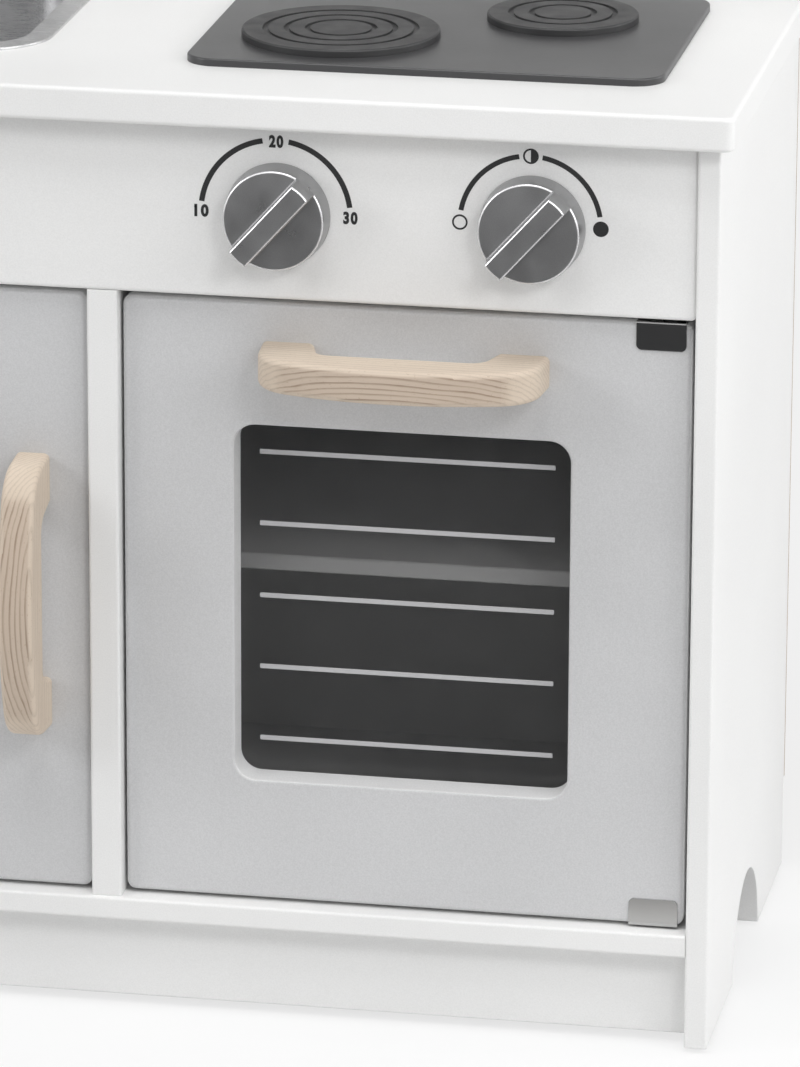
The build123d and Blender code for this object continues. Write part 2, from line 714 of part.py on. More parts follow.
# Bow handles: an outline with a gently curved front, given its width across the grain
handle_planes = {
    "oven": Plane(origin=(door_middle_x, door_front, handle_z - handle_width / 2),
                  x_dir=(1, 0, 0), z_dir=(0, 0, 1)),
    "cupboard": Plane(origin=(cupboard_handle_x + handle_width / 2, door_front, door_middle_z),
                      x_dir=(0, 0, 1), z_dir=(-1, 0, 0)),
}
half = handle_length / 2
inner = half - handle_foot
front_fall = handle_front_radius - (handle_front_radius ** 2 - half ** 2) ** 0.5
corner_depth = handle_depth - front_fall
for door, plane in handle_planes.items():
    with BuildPart() as handle:
        with BuildSketch(plane):
            with BuildLine():
                bow = ThreePointArc((-half, -corner_depth), (0, -handle_depth),
                                    (half, -corner_depth))
                Line((half, -corner_depth), (half + handle_flare, 0))
                Line((half + handle_flare, 0), (-half - handle_flare, 0))
                Line((-half - handle_flare, 0), (-half, -corner_depth))
            ends = make_face()
            fillet(ends.vertices().sort_by(Axis.Y)[:2], handle_corner)
        extrude(amount=handle_width)
        with BuildSketch(plane):
            with BuildLine():
                FilletPolyline((inner, 0), (inner - handle_gap_taper, -handle_gap_depth),
                               (handle_gap_taper - inner, -handle_gap_depth), (-inner, 0),
                               radius=handle_gap_corner)
                Line((-inner, 0), (inner, 0))
            make_face()
        extrude(amount=handle_width, mode=Mode.SUBTRACT)
        feet = handle.faces().filter_by(Axis.Y).sort_by(Axis.Y)[-2:]
        on_door = feet[0].edges() + feet[1].edges()
        rims = handle.edges().filter_by(lambda e: not any(e.is_same(f) for f in on_door))
        across = Axis.Z if door == "oven" else Axis.X
        fillet(rims.filter_by(across, reverse=True), handle_round)
        with BuildSketch(facing(door_front)):
            circles(handle_screws if door == "oven" else upright_screws,
                    screw_diameter / 2 + drill_clearance)
        extrude(amount=screw_grip + bottom_clearance, mode=Mode.SUBTRACT)
    handle.part.label = f"{door}_handle"
    export_step(handle.part, f"parts/{door}_handle.step")

for door, points in (("oven", handle_screws), ("cupboard", upright_screws)):
    with BuildPart() as screws:
        with BuildSketch(facing(door_back + screw_head_height)):
            circles(points, screw_head_diameter / 2)
        extrude(amount=screw_head_height)
        fillet(screws.faces().sort_by(Axis.Y)[-1].edges(), screw_head_round)
        with BuildSketch(facing(door_back)):
            circles(points, screw_diameter / 2)
        extrude(amount=door_thickness + screw_grip)
    screws.part.label = f"{door}_handle_screws"
    export_step(screws.part, f"parts/{door}_handle_screws.step")

# Control knobs: a round body that narrows to the front, a grip bar at an angle across its face
# and a boss through the panel, held from behind by a washer and a screw
knob_back = front + control_setback - knob_panel_gap
knob_boss_end = control_back + knob_play
knob_washer_back = knob_boss_end + knob_washer_thickness
knob_face = knob_back - knob_face_height
knob_front = knob_face - knob_grip_height
for name, x in zip(("timer_knob", "heat_knob"), knob_xs):
    with BuildPart() as knob:
        for y, width in ((knob_face, knob_grip_foot), (knob_front, knob_grip_width)):
            with BuildSketch(facing(y)):
                with Locations((x, knob_z)):
                    Rectangle(knob_base_diameter, width, rotation=knob_grip_angle)
        loft()
        with BuildSketch(facing(knob_back)):
            circles([(x, knob_z)], knob_base_diameter / 2)
        extrude(amount=knob_face_height)
        for y, diameter in ((knob_back, knob_base_diameter), (knob_front, knob_front_diameter)):
            with BuildSketch(facing(y)):
                circles([(x, knob_z)], diameter / 2)
        loft(mode=Mode.INTERSECT)
        face_rims = knob.edges().filter_by(GeomType.CIRCLE).group_by(Axis.Y)[1]
        fillet(face_rims + knob.faces().sort_by(Axis.Y)[0].edges(), knob_edge)
        with BuildSketch(facing(knob_back)):
            circles([(x, knob_z)], knob_boss_diameter / 2)
        extrude(amount=knob_back - knob_boss_end)
        with BuildSketch(facing(knob_boss_end)):
            circles([(x, knob_z)], small_screw_diameter / 2 + drill_clearance)
        extrude(amount=small_screw_grip + bottom_clearance, mode=Mode.SUBTRACT)
    knob.part.label = name
    export_step(knob.part, f"parts/{name}.step")

    with BuildPart() as washer:
        with BuildSketch(facing(knob_washer_back)):
            with Locations((x, knob_z)):
                Circle(knob_washer_diameter / 2)
                Circle(small_screw_diameter / 2 + through_clearance, mode=Mode.SUBTRACT)
        extrude(amount=knob_washer_thickness)
    washer.part.label = f"{name}_washer"
    export_step(washer.part, f"parts/{name}_washer.step")

    with BuildPart() as screw:
        with BuildSketch(facing(knob_washer_back + small_head_height)):
            circles([(x, knob_z)], small_head_diameter / 2)
        extrude(amount=small_head_height)
        with BuildSketch(facing(knob_washer_back)):
            circles([(x, knob_z)], small_screw_diameter / 2)
        extrude(amount=knob_washer_thickness + small_screw_grip)
    screw.part.label = f"{name}_screw"
    export_step(screw.part, f"parts/{name}_screw.step")

# Worktop with the sink's cut-out and the holes of the tap
worktop_depth = worktop_front + carcass_depth + back_thickness
posts = [(x, tap_y) for x in tap_knob_xs]
with BuildPart() as worktop:
    with BuildSketch(Plane.XY.offset(worktop_bottom)):
        with Locations((0, back_outer - worktop_depth / 2)):
            RectangleRounded(2 * (outer_x + worktop_side), worktop_depth, worktop_corner)
    extrude(amount=worktop_thickness)
    fillet(worktop.faces().filter_by(Axis.Z).edges(), worktop_round)
    with BuildSketch(Plane.XY.offset(worktop_bottom)):
        with Locations((-bay_middle, sink_y)):
            RectangleRounded(sink_width + 2 * sink_cut_clearance,
                             sink_length + 2 * sink_cut_clearance,
                             sink_corner + sink_cut_clearance)
        circles([(-bay_middle, tap_y)], tap_stud_diameter / 2 + drill_clearance)
    extrude(amount=worktop_thickness, mode=Mode.SUBTRACT)
    with BuildSketch(Plane.XY.offset(worktop_top)):
        circles(posts, post_spindle_diameter / 2 + drill_clearance)
    extrude(amount=-(post_stud_length + bottom_clearance), mode=Mode.SUBTRACT)
    with BuildSketch(Plane.XY.offset(worktop_top)):
        circles(top_dowels, dowel_radius)
    extrude(amount=-(top_dowel_seat + bottom_clearance), mode=Mode.SUBTRACT)
worktop.part.label = "worktop"
export_step(worktop.part, "parts/worktop.step")

# Blocks in the upper corners of the carcass, each with a screw up into the worktop
block_ys = (front + block_inset + block_length / 2, back_inner - block_inset - block_length / 2)
blocks = [(sign * (inner_x - block_size / 2), y) for sign in (-1, 1) for y in block_ys]
with BuildPart() as corner_blocks:
    with BuildSketch(Plane.XY.offset(worktop_bottom)):
        with Locations(*blocks):
            Rectangle(block_size, block_length)
            Circle(screw_diameter / 2 + through_clearance, mode=Mode.SUBTRACT)
    extrude(amount=-block_size)
corner_blocks.part.label = "corner_blocks"
export_step(corner_blocks.part, "parts/corner_blocks.step")

with BuildPart() as block_screws:
    with BuildSketch(Plane.XY.offset(worktop_bottom - block_size - screw_head_height)):
        circles(blocks, screw_head_diameter / 2)
    extrude(amount=screw_head_height)
    with BuildSketch(Plane.XY.offset(worktop_bottom - block_size)):
        circles(blocks, screw_diameter / 2)
    extrude(amount=block_screw_length)
block_screws.part.label = "block_screws"
export_step(block_screws.part, "parts/block_screws.step")

# Hob plate with two burner discs
with BuildPart() as hob_plate:
    with BuildSketch(Plane.XY.offset(worktop_top)):
        with Locations((bay_middle, hob_y)):
            RectangleRounded(hob_width, hob_depth, hob_corner)
    extrude(amount=hob_thickness)
    fillet(hob_plate.faces().sort_by(Axis.Z)[-1].edges(), hob_edge)
hob_plate.part.label = "hob_plate"
export_step(hob_plate.part, "parts/hob_plate.step")

burner_bottom = worktop_top + hob_thickness
burner_top = burner_bottom + burner_thickness
for name, diameter, way in (("burner_front", large_burner_diameter, -1),
                            ("burner_rear", small_burner_diameter, 1)):
    spot = (bay_middle + way * burner_spread_x / 2, hob_y + way * burner_spread_y / 2)
    with BuildPart() as burner:
        with BuildSketch(Plane.XY.offset(burner_bottom)):
            circles([spot], diameter / 2)
        extrude(amount=burner_thickness)
        fillet(burner.faces().sort_by(Axis.Z)[-1].edges(), burner_edge)
        groove = diameter / 2 - burner_groove_pitch
        while groove - burner_groove_width > burner_hub_diameter / 2:
            with BuildSketch(Plane.XY.offset(burner_top)):
                with Locations(spot):
                    Circle(groove)
                    Circle(groove - burner_groove_width, mode=Mode.SUBTRACT)
            extrude(amount=-burner_groove_depth, mode=Mode.SUBTRACT)
            groove -= burner_groove_pitch
    burner.part.label = name
    export_step(burner.part, f"parts/{name}.step")

# Sink bowl, hung by its rim in the worktop, and the drain in its floor
sink_floor = worktop_top - sink_depth
with BuildPart() as sink_bowl:
    with BuildSketch(Plane.XY.offset(sink_floor)):
        with Locations((-bay_middle, sink_y)):
            RectangleRounded(sink_width, sink_length, sink_corner)
    extrude(amount=sink_depth)
    fillet(sink_bowl.faces().sort_by(Axis.Z)[0].edges(), sink_floor_round)
    offset(amount=-sink_metal, openings=sink_bowl.faces().sort_by(Axis.Z)[-1])
    with BuildSketch(Plane.XY.offset(worktop_top)):
        with Locations((-bay_middle, sink_y)):
            RectangleRounded(sink_width + 2 * sink_rim, sink_length + 2 * sink_rim,
                             sink_corner + sink_rim)
            RectangleRounded(sink_width - 2 * sink_metal, sink_length - 2 * sink_metal,
                             sink_corner - sink_metal, mode=Mode.SUBTRACT)
    extrude(amount=sink_metal)
    rim_edges = sink_bowl.faces().sort_by(Axis.Z)[-1].outer_wire().edges()
    fillet(rim_edges, sink_metal / 2)
    with BuildSketch(Plane.XY.offset(sink_floor)):
        circles([(-bay_middle, sink_y)], drain_stub_diameter / 2 + drill_clearance)
    extrude(amount=sink_metal, mode=Mode.SUBTRACT)
sink_bowl.part.label = "sink_bowl"
export_step(sink_bowl.part, "parts/sink_bowl.step")

with BuildPart() as sink_drain:
    with BuildSketch(Plane.XY.offset(sink_floor + sink_metal)):
        with Locations((-bay_middle, sink_y)):
            Circle(drain_diameter / 2)
            with PolarLocations(drain_hole_circle / 2, drain_hole_count):
                Circle(drain_hole_diameter / 2, mode=Mode.SUBTRACT)
    extrude(amount=drain_thickness)
    with BuildSketch(Plane.XY.offset(sink_floor + sink_metal)):
        circles([(-bay_middle, sink_y)], drain_stub_diameter / 2)
    extrude(amount=-drain_stub_length)
sink_drain.part.label = "sink_drain"
export_step(sink_drain.part, "parts/sink_drain.step")

# Tap base with its stud through the worktop, and the nut under it
with BuildPart() as tap_base:
    with BuildSketch(Plane.XY.offset(worktop_top)):
        circles([(-bay_middle, tap_y)], tap_flange_diameter / 2)
    extrude(amount=tap_flange_height)
    fillet(tap_base.faces().sort_by(Axis.Z)[-1].edges(), tap_flange_round)
    with BuildSketch(Plane.XY.offset(worktop_top)):
        circles([(-bay_middle, tap_y)], tap_column_diameter / 2)
    extrude(amount=tap_column_height)
    fillet(tap_base.faces().sort_by(Axis.Z)[-1].edges(), tap_edge)
    with BuildSketch(Plane.XY.offset(worktop_top)):
        circles([(-bay_middle, tap_y)], tap_stud_diameter / 2)
    extrude(amount=-(worktop_thickness + tap_stud_drop))
    with BuildSketch(Plane.XY.offset(tap_column_top)):
        circles([(-bay_middle, tap_y)], spout_diameter / 2 + tap_running)
    extrude(amount=-(spout_seat + bottom_clearance), mode=Mode.SUBTRACT)
tap_base.part.label = "tap_base"
export_step(tap_base.part, "parts/tap_base.step")

with BuildPart() as tap_nut:
    with BuildSketch(Plane.XY.offset(worktop_bottom)):
        with Locations((-bay_middle, tap_y)):
            RegularPolygon(tap_nut_diameter / 2, 6)
            Circle(tap_stud_diameter / 2 + drill_clearance, mode=Mode.SUBTRACT)
    extrude(amount=-tap_nut_height)
tap_nut.part.label = "tap_nut"
export_step(tap_nut.part, "parts/tap_nut.step")

# Spout: a tube bent forward and down, turning in the tap base on its collar
collar_bottom = tap_column_top + tap_play
spout_run_z = worktop_top + spout_height
stem_bottom = collar_bottom - spout_seat
nozzle_bottom = worktop_top + sink_metal + sink_lift + spout_nozzle_gap
spout_end = nozzle_bottom + spout_nozzle_height / 2
with BuildPart() as tap_spout:
    with BuildLine(Plane(origin=(-bay_middle, tap_y, 0), x_dir=(0, -1, 0), z_dir=(-1, 0, 0))):
        FilletPolyline((0, stem_bottom), (0, spout_run_z), (spout_reach, spout_run_z),
                       (spout_reach, spout_end), radius=spout_bend)
    with BuildSketch(Plane.XY.offset(stem_bottom)):
        circles([(-bay_middle, tap_y)], spout_diameter / 2)
    sweep()
    with BuildSketch(Plane.XY.offset(collar_bottom)):
        circles([(-bay_middle, tap_y)], spout_collar_diameter / 2)
    extrude(amount=spout_collar_height)
    with BuildSketch(Plane.XY.offset(nozzle_bottom)):
        circles([(-bay_middle, tap_y - spout_reach)], spout_nozzle_diameter / 2)
    extrude(amount=spout_nozzle_height)
    rims = tap_spout.edges().filter_by(GeomType.CIRCLE)
    rims = rims.filter_by(lambda e: e.radius > spout_diameter / 2 + drill_clearance)
    rims = rims.filter_by(lambda e: abs(e.bounding_box().size.Z) < drill_clearance)
    fillet(rims, tap_edge)
    with BuildSketch(Plane.XY.offset(nozzle_bottom)):
        circles([(-bay_middle, tap_y - spout_reach)], spout_diameter / 2)
    extrude(amount=spout_nozzle_recess, mode=Mode.SUBTRACT)
tap_spout.part.label = "tap_spout"
export_step(tap_spout.part, "parts/tap_spout.step")

# Posts of the two tap knobs, each with the spindle that its knob turns on
with BuildPart() as tap_posts:
    with BuildSketch(Plane.XY.offset(worktop_top)):
        circles(posts, post_flange_diameter / 2)
    extrude(amount=tap_flange_height)
    fillet(tap_posts.faces().group_by(Axis.Z)[-1].edges(), tap_flange_round)
    with BuildSketch(Plane.XY.offset(worktop_top)):
        circles(posts, post_column_diameter / 2)
    extrude(amount=post_height)
    with BuildSketch(Plane.XY.offset(worktop_top - post_stud_length)):
        circles(posts, post_spindle_diameter / 2)
    extrude(amount=post_stud_length + post_height + post_spindle_height)
tap_posts.part.label = "tap_posts"
export_step(tap_posts.part, "parts/tap_posts.step")

hub_bottom = post_top + tap_play
arm_z = hub_bottom + tap_hub_height / 2
for name, spot in zip(("hot_tap_knob", "cold_tap_knob"), posts):
    with BuildPart() as tap_knob:
        with BuildSketch(Plane.XY.offset(hub_bottom)):
            circles([spot], tap_hub_diameter / 2)
        extrude(amount=tap_hub_height)
        fillet(tap_knob.faces().sort_by(Axis.Z)[-1].edges(), tap_hub_round)
        for base in (Plane.XZ, Plane.YZ):
            arm_plane = Plane(origin=(spot[0], spot[1], arm_z), x_dir=base.x_dir,
                              z_dir=base.z_dir)
            with BuildSketch(arm_plane):
                Circle(tap_arm_diameter / 2)
            extrude(amount=tap_arm_reach, both=True)
        tips = tap_knob.faces().filter_by(Axis.X).edges()
        tips += tap_knob.faces().filter_by(Axis.Y).edges()
        fillet(tips, tap_arm_round)
        with BuildSketch(Plane.XY.offset(hub_bottom)):
            circles([spot], post_spindle_diameter / 2 + tap_running)
        extrude(amount=post_spindle_height + bottom_clearance, mode=Mode.SUBTRACT)
    tap_knob.part.label = name
    export_step(tap_knob.part, f"parts/{name}.step")

# Splashback with anchor holes for the wall, peg holes and screw holes of the upper shelf
anchor_z = worktop_top + splashback_height - anchor_drop
anchors = [(i * anchor_spread / 2, anchor_z) for i in (-1, 1)]
pegs = [(peg_shift + (i - (peg_count - 1) / 2) * peg_pitch, worktop_top + peg_rise)
        for i in range(peg_count)]
upper_shelf_middle = upper_shelf_bottom + board / 2
shelf_screw_points = [(x, upper_shelf_middle) for x in top_dowel_xs]
shelf_recess = screw_head_height + through_clearance
with BuildPart() as splashback:
    with BuildSketch(facing(back_outer)):
        with Locations((0, worktop_top + splashback_height / 2)):
            Rectangle(2 * outer_x, splashback_height)
        with Locations(*anchors):
            Circle(anchor_diameter / 2, mode=Mode.SUBTRACT)
        with Locations(*shelf_screw_points):
            Circle(screw_diameter / 2 + through_clearance, mode=Mode.SUBTRACT)
    extrude(amount=splashback_thickness)
    upper_corners = splashback.edges().filter_by(Axis.Y).filter_by(GeomType.LINE)
    fillet(upper_corners.group_by(Axis.Z)[-1], splashback_corner)
    front_rim = splashback.faces().sort_by(Axis.Y)[0].outer_wire().edges()
    fillet(front_rim.sort_by(Axis.Z)[1:], splashback_round)
    with BuildSketch(facing(back_outer)):
        circles(shelf_screw_points, screw_head_diameter / 2 + through_clearance)
    extrude(amount=shelf_recess, mode=Mode.SUBTRACT)
    with BuildSketch(facing(splash_front)):
        circles(pegs, peg_tenon_diameter / 2 + drill_clearance)
    extrude(amount=-(peg_tenon_length + bottom_clearance), mode=Mode.SUBTRACT)
    with BuildSketch(Plane.XY.offset(worktop_top)):
        circles(top_dowels, dowel_radius)
    extrude(amount=dowel_length - top_dowel_seat + bottom_clearance, mode=Mode.SUBTRACT)
splashback.part.label = "splashback"
export_step(splashback.part, "parts/splashback.step")

with BuildPart() as shelf_screws:
    with BuildSketch(facing(back_outer - through_clearance)):
        circles(shelf_screw_points, screw_head_diameter / 2)
    extrude(amount=screw_head_height)
    with BuildSketch(facing(back_outer - shelf_recess)):
        circles(shelf_screw_points, screw_diameter / 2)
    extrude(amount=splashback_thickness - shelf_recess + screw_grip)
shelf_screws.part.label = "shelf_screws"
export_step(shelf_screws.part, "parts/shelf_screws.step")

# Upper shelf on its two brackets
with BuildPart() as upper_shelf:
    with BuildSketch(Plane.XY.offset(upper_shelf_bottom)):
        with Locations((0, splash_front - upper_shelf_depth / 2)):
            Rectangle(2 * outer_x, upper_shelf_depth)
    extrude(amount=board)
    front_corners = upper_shelf.edges().filter_by(Axis.Z).group_by(Axis.Y)[0]
    fillet(front_corners, worktop_corner)
    rim = upper_shelf.faces().filter_by(Axis.Z).edges().filter_by(
        lambda e: e.center().Y < splash_front - board_round)
    fillet(rim, board_round)
upper_shelf.part.label = "upper_shelf"
export_step(upper_shelf.part, "parts/upper_shelf.step")

for side, sign in (("left", -1), ("right", 1)):
    with BuildPart() as bracket:
        with BuildSketch(Plane.YZ.offset(sign * (outer_x - bracket_inset))):
            with BuildLine():
                low = (splash_front, upper_shelf_bottom - bracket_height)
                tip = (splash_front - bracket_depth, upper_shelf_bottom)
                Line((splash_front, upper_shelf_bottom), low)
                Line(low, (low[0] - board, low[1]))
                Spline((low[0] - board, low[1]), (tip[0], tip[1] - board),
                       tangents=[(0, 1), (-1, 0)])
                Line((tip[0], tip[1] - board), tip)
                Line(tip, (splash_front, upper_shelf_bottom))
            make_face()
        extrude(amount=-sign * board)
        fillet(bracket.edges().filter_by(GeomType.BSPLINE), bracket_round)
    bracket.part.label = f"shelf_bracket_{side}"
    export_step(bracket.part, f"parts/shelf_bracket_{side}.step")

# Turned pegs for utensils
with BuildPart() as utensil_pegs:
    peg_end = splash_front - peg_reach
    with BuildSketch(facing(splash_front + peg_tenon_length)):
        circles(pegs, peg_tenon_diameter / 2)
    extrude(amount=peg_tenon_length + peg_reach - peg_tip_length)
    with BuildSketch(facing(splash_front)):
        circles(pegs, peg_diameter / 2)
    extrude(amount=peg_reach)
    with BuildSketch(facing(peg_end + peg_tip_length)):
        circles(pegs, peg_tip_diameter / 2)
    extrude(amount=peg_tip_length)
    tips = utensil_pegs.edges().filter_by(GeomType.CIRCLE)
    tips = tips.filter_by(lambda e: e.radius > peg_diameter / 2 + drill_clearance)
    fillet(tips, peg_tip_round)
utensil_pegs.part.label = "utensil_pegs"
export_step(utensil_pegs.part, "parts/utensil_pegs.step")
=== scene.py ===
import json
import math
import bmesh
import bpy
from mathutils import Matrix, Vector


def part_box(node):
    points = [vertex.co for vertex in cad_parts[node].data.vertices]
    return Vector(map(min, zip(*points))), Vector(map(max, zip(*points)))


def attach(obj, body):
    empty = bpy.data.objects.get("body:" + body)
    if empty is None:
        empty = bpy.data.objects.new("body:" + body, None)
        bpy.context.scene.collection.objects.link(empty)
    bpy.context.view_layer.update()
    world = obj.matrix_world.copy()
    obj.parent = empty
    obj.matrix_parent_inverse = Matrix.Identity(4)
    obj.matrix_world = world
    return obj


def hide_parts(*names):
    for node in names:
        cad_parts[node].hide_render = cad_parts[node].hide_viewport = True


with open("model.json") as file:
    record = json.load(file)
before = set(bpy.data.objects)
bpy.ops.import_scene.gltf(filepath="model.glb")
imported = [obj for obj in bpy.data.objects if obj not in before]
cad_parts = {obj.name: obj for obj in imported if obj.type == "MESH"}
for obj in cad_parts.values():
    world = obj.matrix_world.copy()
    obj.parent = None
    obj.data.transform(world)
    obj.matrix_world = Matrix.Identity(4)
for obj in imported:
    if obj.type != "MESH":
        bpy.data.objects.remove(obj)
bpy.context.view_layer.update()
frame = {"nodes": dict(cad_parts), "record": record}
nodes = frame["nodes"]
mm = 0.001
print("frame loaded,", len(nodes), "CAD nodes")


# short ways to lay out nodes and finish pieces

noiseSpan = (0.3, 0.7)   # noise seldom leaves it

def wire(tree, socket, value):
    if isinstance(value, bpy.types.NodeSocket):
        tree.links.new(value, socket)
    else:
        socket.default_value = value


def put(tree, kind, values=None, **settings):
    node = tree.nodes.new("ShaderNode" + kind)
    for name, setting in settings.items():
        setattr(node, name, setting)
    for key, value in (values or {}).items():
        wire(tree, node.inputs[key], value)
    return node


def calc(tree, operation, *values, clamp=False):
    sums = dict(enumerate(values))
    return put(tree, "Math", sums, operation=operation, use_clamp=clamp).outputs[0]


def tint(tree, amount, first, second, how="MIX"):
    values = {0: amount, 6: first, 7: second}
    return put(tree, "Mix", values, data_type="RGBA", blend_type=how).outputs[2]


def shaded(tree, colour, tone):
    grey = put(tree, "CombineColor", {0: tone, 1: tone, 2: tone}).outputs[0]
    return tint(tree, 1.0, colour, grey, "MULTIPLY")


def spread(tree, value, low, high, toLow=0.0, toHigh=1.0, how="LINEAR"):
    values = {"Value": value, "From Min": low, "From Max": high, "To Min": toLow, "To Max": toHigh}
    return put(tree, "MapRange", values, interpolation_type=how).outputs[0]


def cloud(tree, vector, scale, detail=2.0, roughness=0.5):
    values = {"Vector": vector, "Scale": scale, "Detail": detail, "Roughness": roughness}
    return put(tree, "TexNoise", values).outputs[0]


def objectPlace(tree):
    return put(tree, "TexCoord").outputs["Object"]


def newGroup(name, inputs, outputs):
    tree = bpy.data.node_groups.new(name, "ShaderNodeTree")
    for label, kind, value in inputs:
        socket = tree.interface.new_socket(name=label, in_out="INPUT", socket_type="NodeSocket" + kind)
        socket.default_value = value
    for label, kind in outputs:
        tree.interface.new_socket(name=label, in_out="OUTPUT", socket_type="NodeSocket" + kind)
    return tree, tree.nodes.new("NodeGroupInput").outputs, tree.nodes.new("NodeGroupOutput").inputs


def useGroup(tree, group, values=None):
    node = tree.nodes.new("ShaderNodeGroup")
    node.node_tree = group
    for key, value in (values or {}).items():
        wire(tree, node.inputs[key], value)
    return node.outputs


def newFinish(name):
    finish = bpy.data.materials.new(name)
    finish.use_nodes = True
    tree = finish.node_tree
    return finish, tree, tree.nodes["Principled BSDF"]


def bump(tree, shader, height, depth, normal=None):
    values = {"Height": height, "Distance": depth}
    if normal is not None:
        values["Normal"] = normal
    tree.links.new(put(tree, "Bump", values).outputs[0], shader.inputs["Normal"])


def lookedAt(tree):
    # 1 where a ray comes straight from the camera, or by way of a mirror or a pane
    path = put(tree, "LightPath").outputs
    straight = calc(tree, "MAXIMUM", path["Is Camera Ray"], path["Is Transmission Ray"])
    return calc(tree, "MAXIMUM", straight, path["Is Glossy Ray"])


def only(piece):
    bpy.ops.object.select_all(action="DESELECT")
    piece.select_set(True)
    bpy.context.view_layer.objects.active = piece


def settle(piece):
    only(piece)
    bpy.ops.object.transform_apply(location=True, rotation=True, scale=True)


shot = {"azimuth": 10.483, "elevation": 17.26, "roll": 0.237, "distance": 3.7728,
        "target": (0.1578, -0.13225, 0.2762), "lens": 246.3, "sensor": 36.0,
        "clipNear": 0.05, "clipFar": 60.0}


def placeCamera():
    turn = math.radians(shot["azimuth"])
    rise = math.radians(shot["elevation"])
    tilt = math.radians(shot["roll"])
    back = Vector((math.sin(turn) * math.cos(rise), -math.cos(turn) * math.cos(rise), math.sin(rise)))
    right = Vector((math.cos(turn), math.sin(turn), 0))
    up = back.cross(right)
    across = right * math.cos(tilt) + up * math.sin(tilt)
    upright = up * math.cos(tilt) - right * math.sin(tilt)
    facing = Matrix((across, upright, back)).transposed()
    place = Vector(shot["target"]) + back * shot["distance"]
    bpy.ops.object.camera_add(location=place, rotation=facing.to_euler())
    camera = bpy.context.object
    camera.data.lens = shot["lens"]
    camera.data.sensor_width = shot["sensor"]
    camera.data.clip_start = shot["clipNear"]
    camera.data.clip_end = shot["clipFar"]
    bpy.context.scene.camera = camera


light = {
    "key": {"place": (1.30, -1.80, 1.75), "size": 0.50, "power": 11.0},   # small, for crisp edges
    "soft": {"place": (1.70, -0.90, 1.15), "size": 1.0, "power": 11.0},   # beyond the right front corner
    "above": {"place": (0.10, -0.75, 2.50), "size": 1.2, "power": 24.0},
    "side": {"place": (2.20, 0.50, 1.00), "size": 1.0, "power": 12.5},
    "left": {"place": (-1.70, -1.10, 1.25), "size": 0.8, "power": 13.5},
    "aim": (0.16, -0.10, 0.30),
    "fill": 0.22, "fillColour": (1.0, 1.0, 1.0, 1.0), "seen": (0.985, 0.985, 0.985, 1.0),
}


def lightStudio():
    for name in ("key", "soft", "above", "side", "left"):
        lamp = light[name]
        facing = (Vector(lamp["place"]) - Vector(light["aim"])).to_track_quat("Z", "Y")
        bpy.ops.object.light_add(type="AREA", location=lamp["place"], rotation=facing.to_euler())
        bpy.context.object.name = name + "Lamp"
        bpy.context.object.data.size = lamp["size"]
        bpy.context.object.data.energy = lamp["power"]
    world = bpy.data.worlds.new("studio")
    bpy.context.scene.world = world
    world.use_nodes = True
    tree = world.node_tree
    tree.nodes.clear()
    fill = put(tree, "Background", {0: light["fillColour"], 1: light["fill"]}).outputs[0]
    seen = put(tree, "Background", {0: light["seen"], 1: 1.0}).outputs[0]
    both = put(tree, "MixShader", {0: lookedAt(tree), 1: fill, 2: seen}).outputs[0]
    put(tree, "OutputWorld", {0: both})


floor = {"size": 16.0, "colour": (0.86, 0.86, 0.86, 1.0), "patch": 6.0, "uneven": (0.97, 1.0),
         "rough": 0.85, "shine": 0.15, "lift": 0.74, "fadeFrom": 0.8, "fadeTo": 3.0}


def layFloor():
    # pale in light and shade, and fading into the backdrop where it is looked at
    bpy.ops.mesh.primitive_plane_add(size=floor["size"], location=(0, 0, 0))
    ground = bpy.context.object
    ground.name = "studioFloor"
    finish, tree, shader = newFinish("paleFloor")
    place = objectPlace(tree)
    tone = spread(tree, cloud(tree, place, floor["patch"], 3.0), *noiseSpan, *floor["uneven"])
    wire(tree, shader.inputs["Base Color"], shaded(tree, floor["colour"], tone))
    shader.inputs["Roughness"].default_value = floor["rough"]
    shader.inputs["Specular IOR Level"].default_value = floor["shine"]
    glow = put(tree, "Emission", {0: light["seen"], 1: 1.0}).outputs[0]
    apart = put(tree, "VectorMath", {0: place}, operation="LENGTH").outputs["Value"]
    share = spread(tree, apart, floor["fadeFrom"], floor["fadeTo"], floor["lift"], 1.0, "SMOOTHSTEP")
    share = calc(tree, "MULTIPLY", share, lookedAt(tree))
    both = put(tree, "MixShader", {0: share, 1: shader.outputs[0], 2: glow}).outputs[0]
    tree.links.new(both, tree.nodes["Material Output"].inputs["Surface"])
    ground.data.materials.append(finish)


felt = {"colour": (0.014, 0.014, 0.015, 1.0), "edge": (0.80, 0.79, 0.77, 1.0), "near": -0.30,
        "dark": -0.40, "far": -3.6, "width": 5.0, "above": 2 * mm, "patch": 9.0,
        "uneven": (0.9, 1.1), "rough": 0.9}


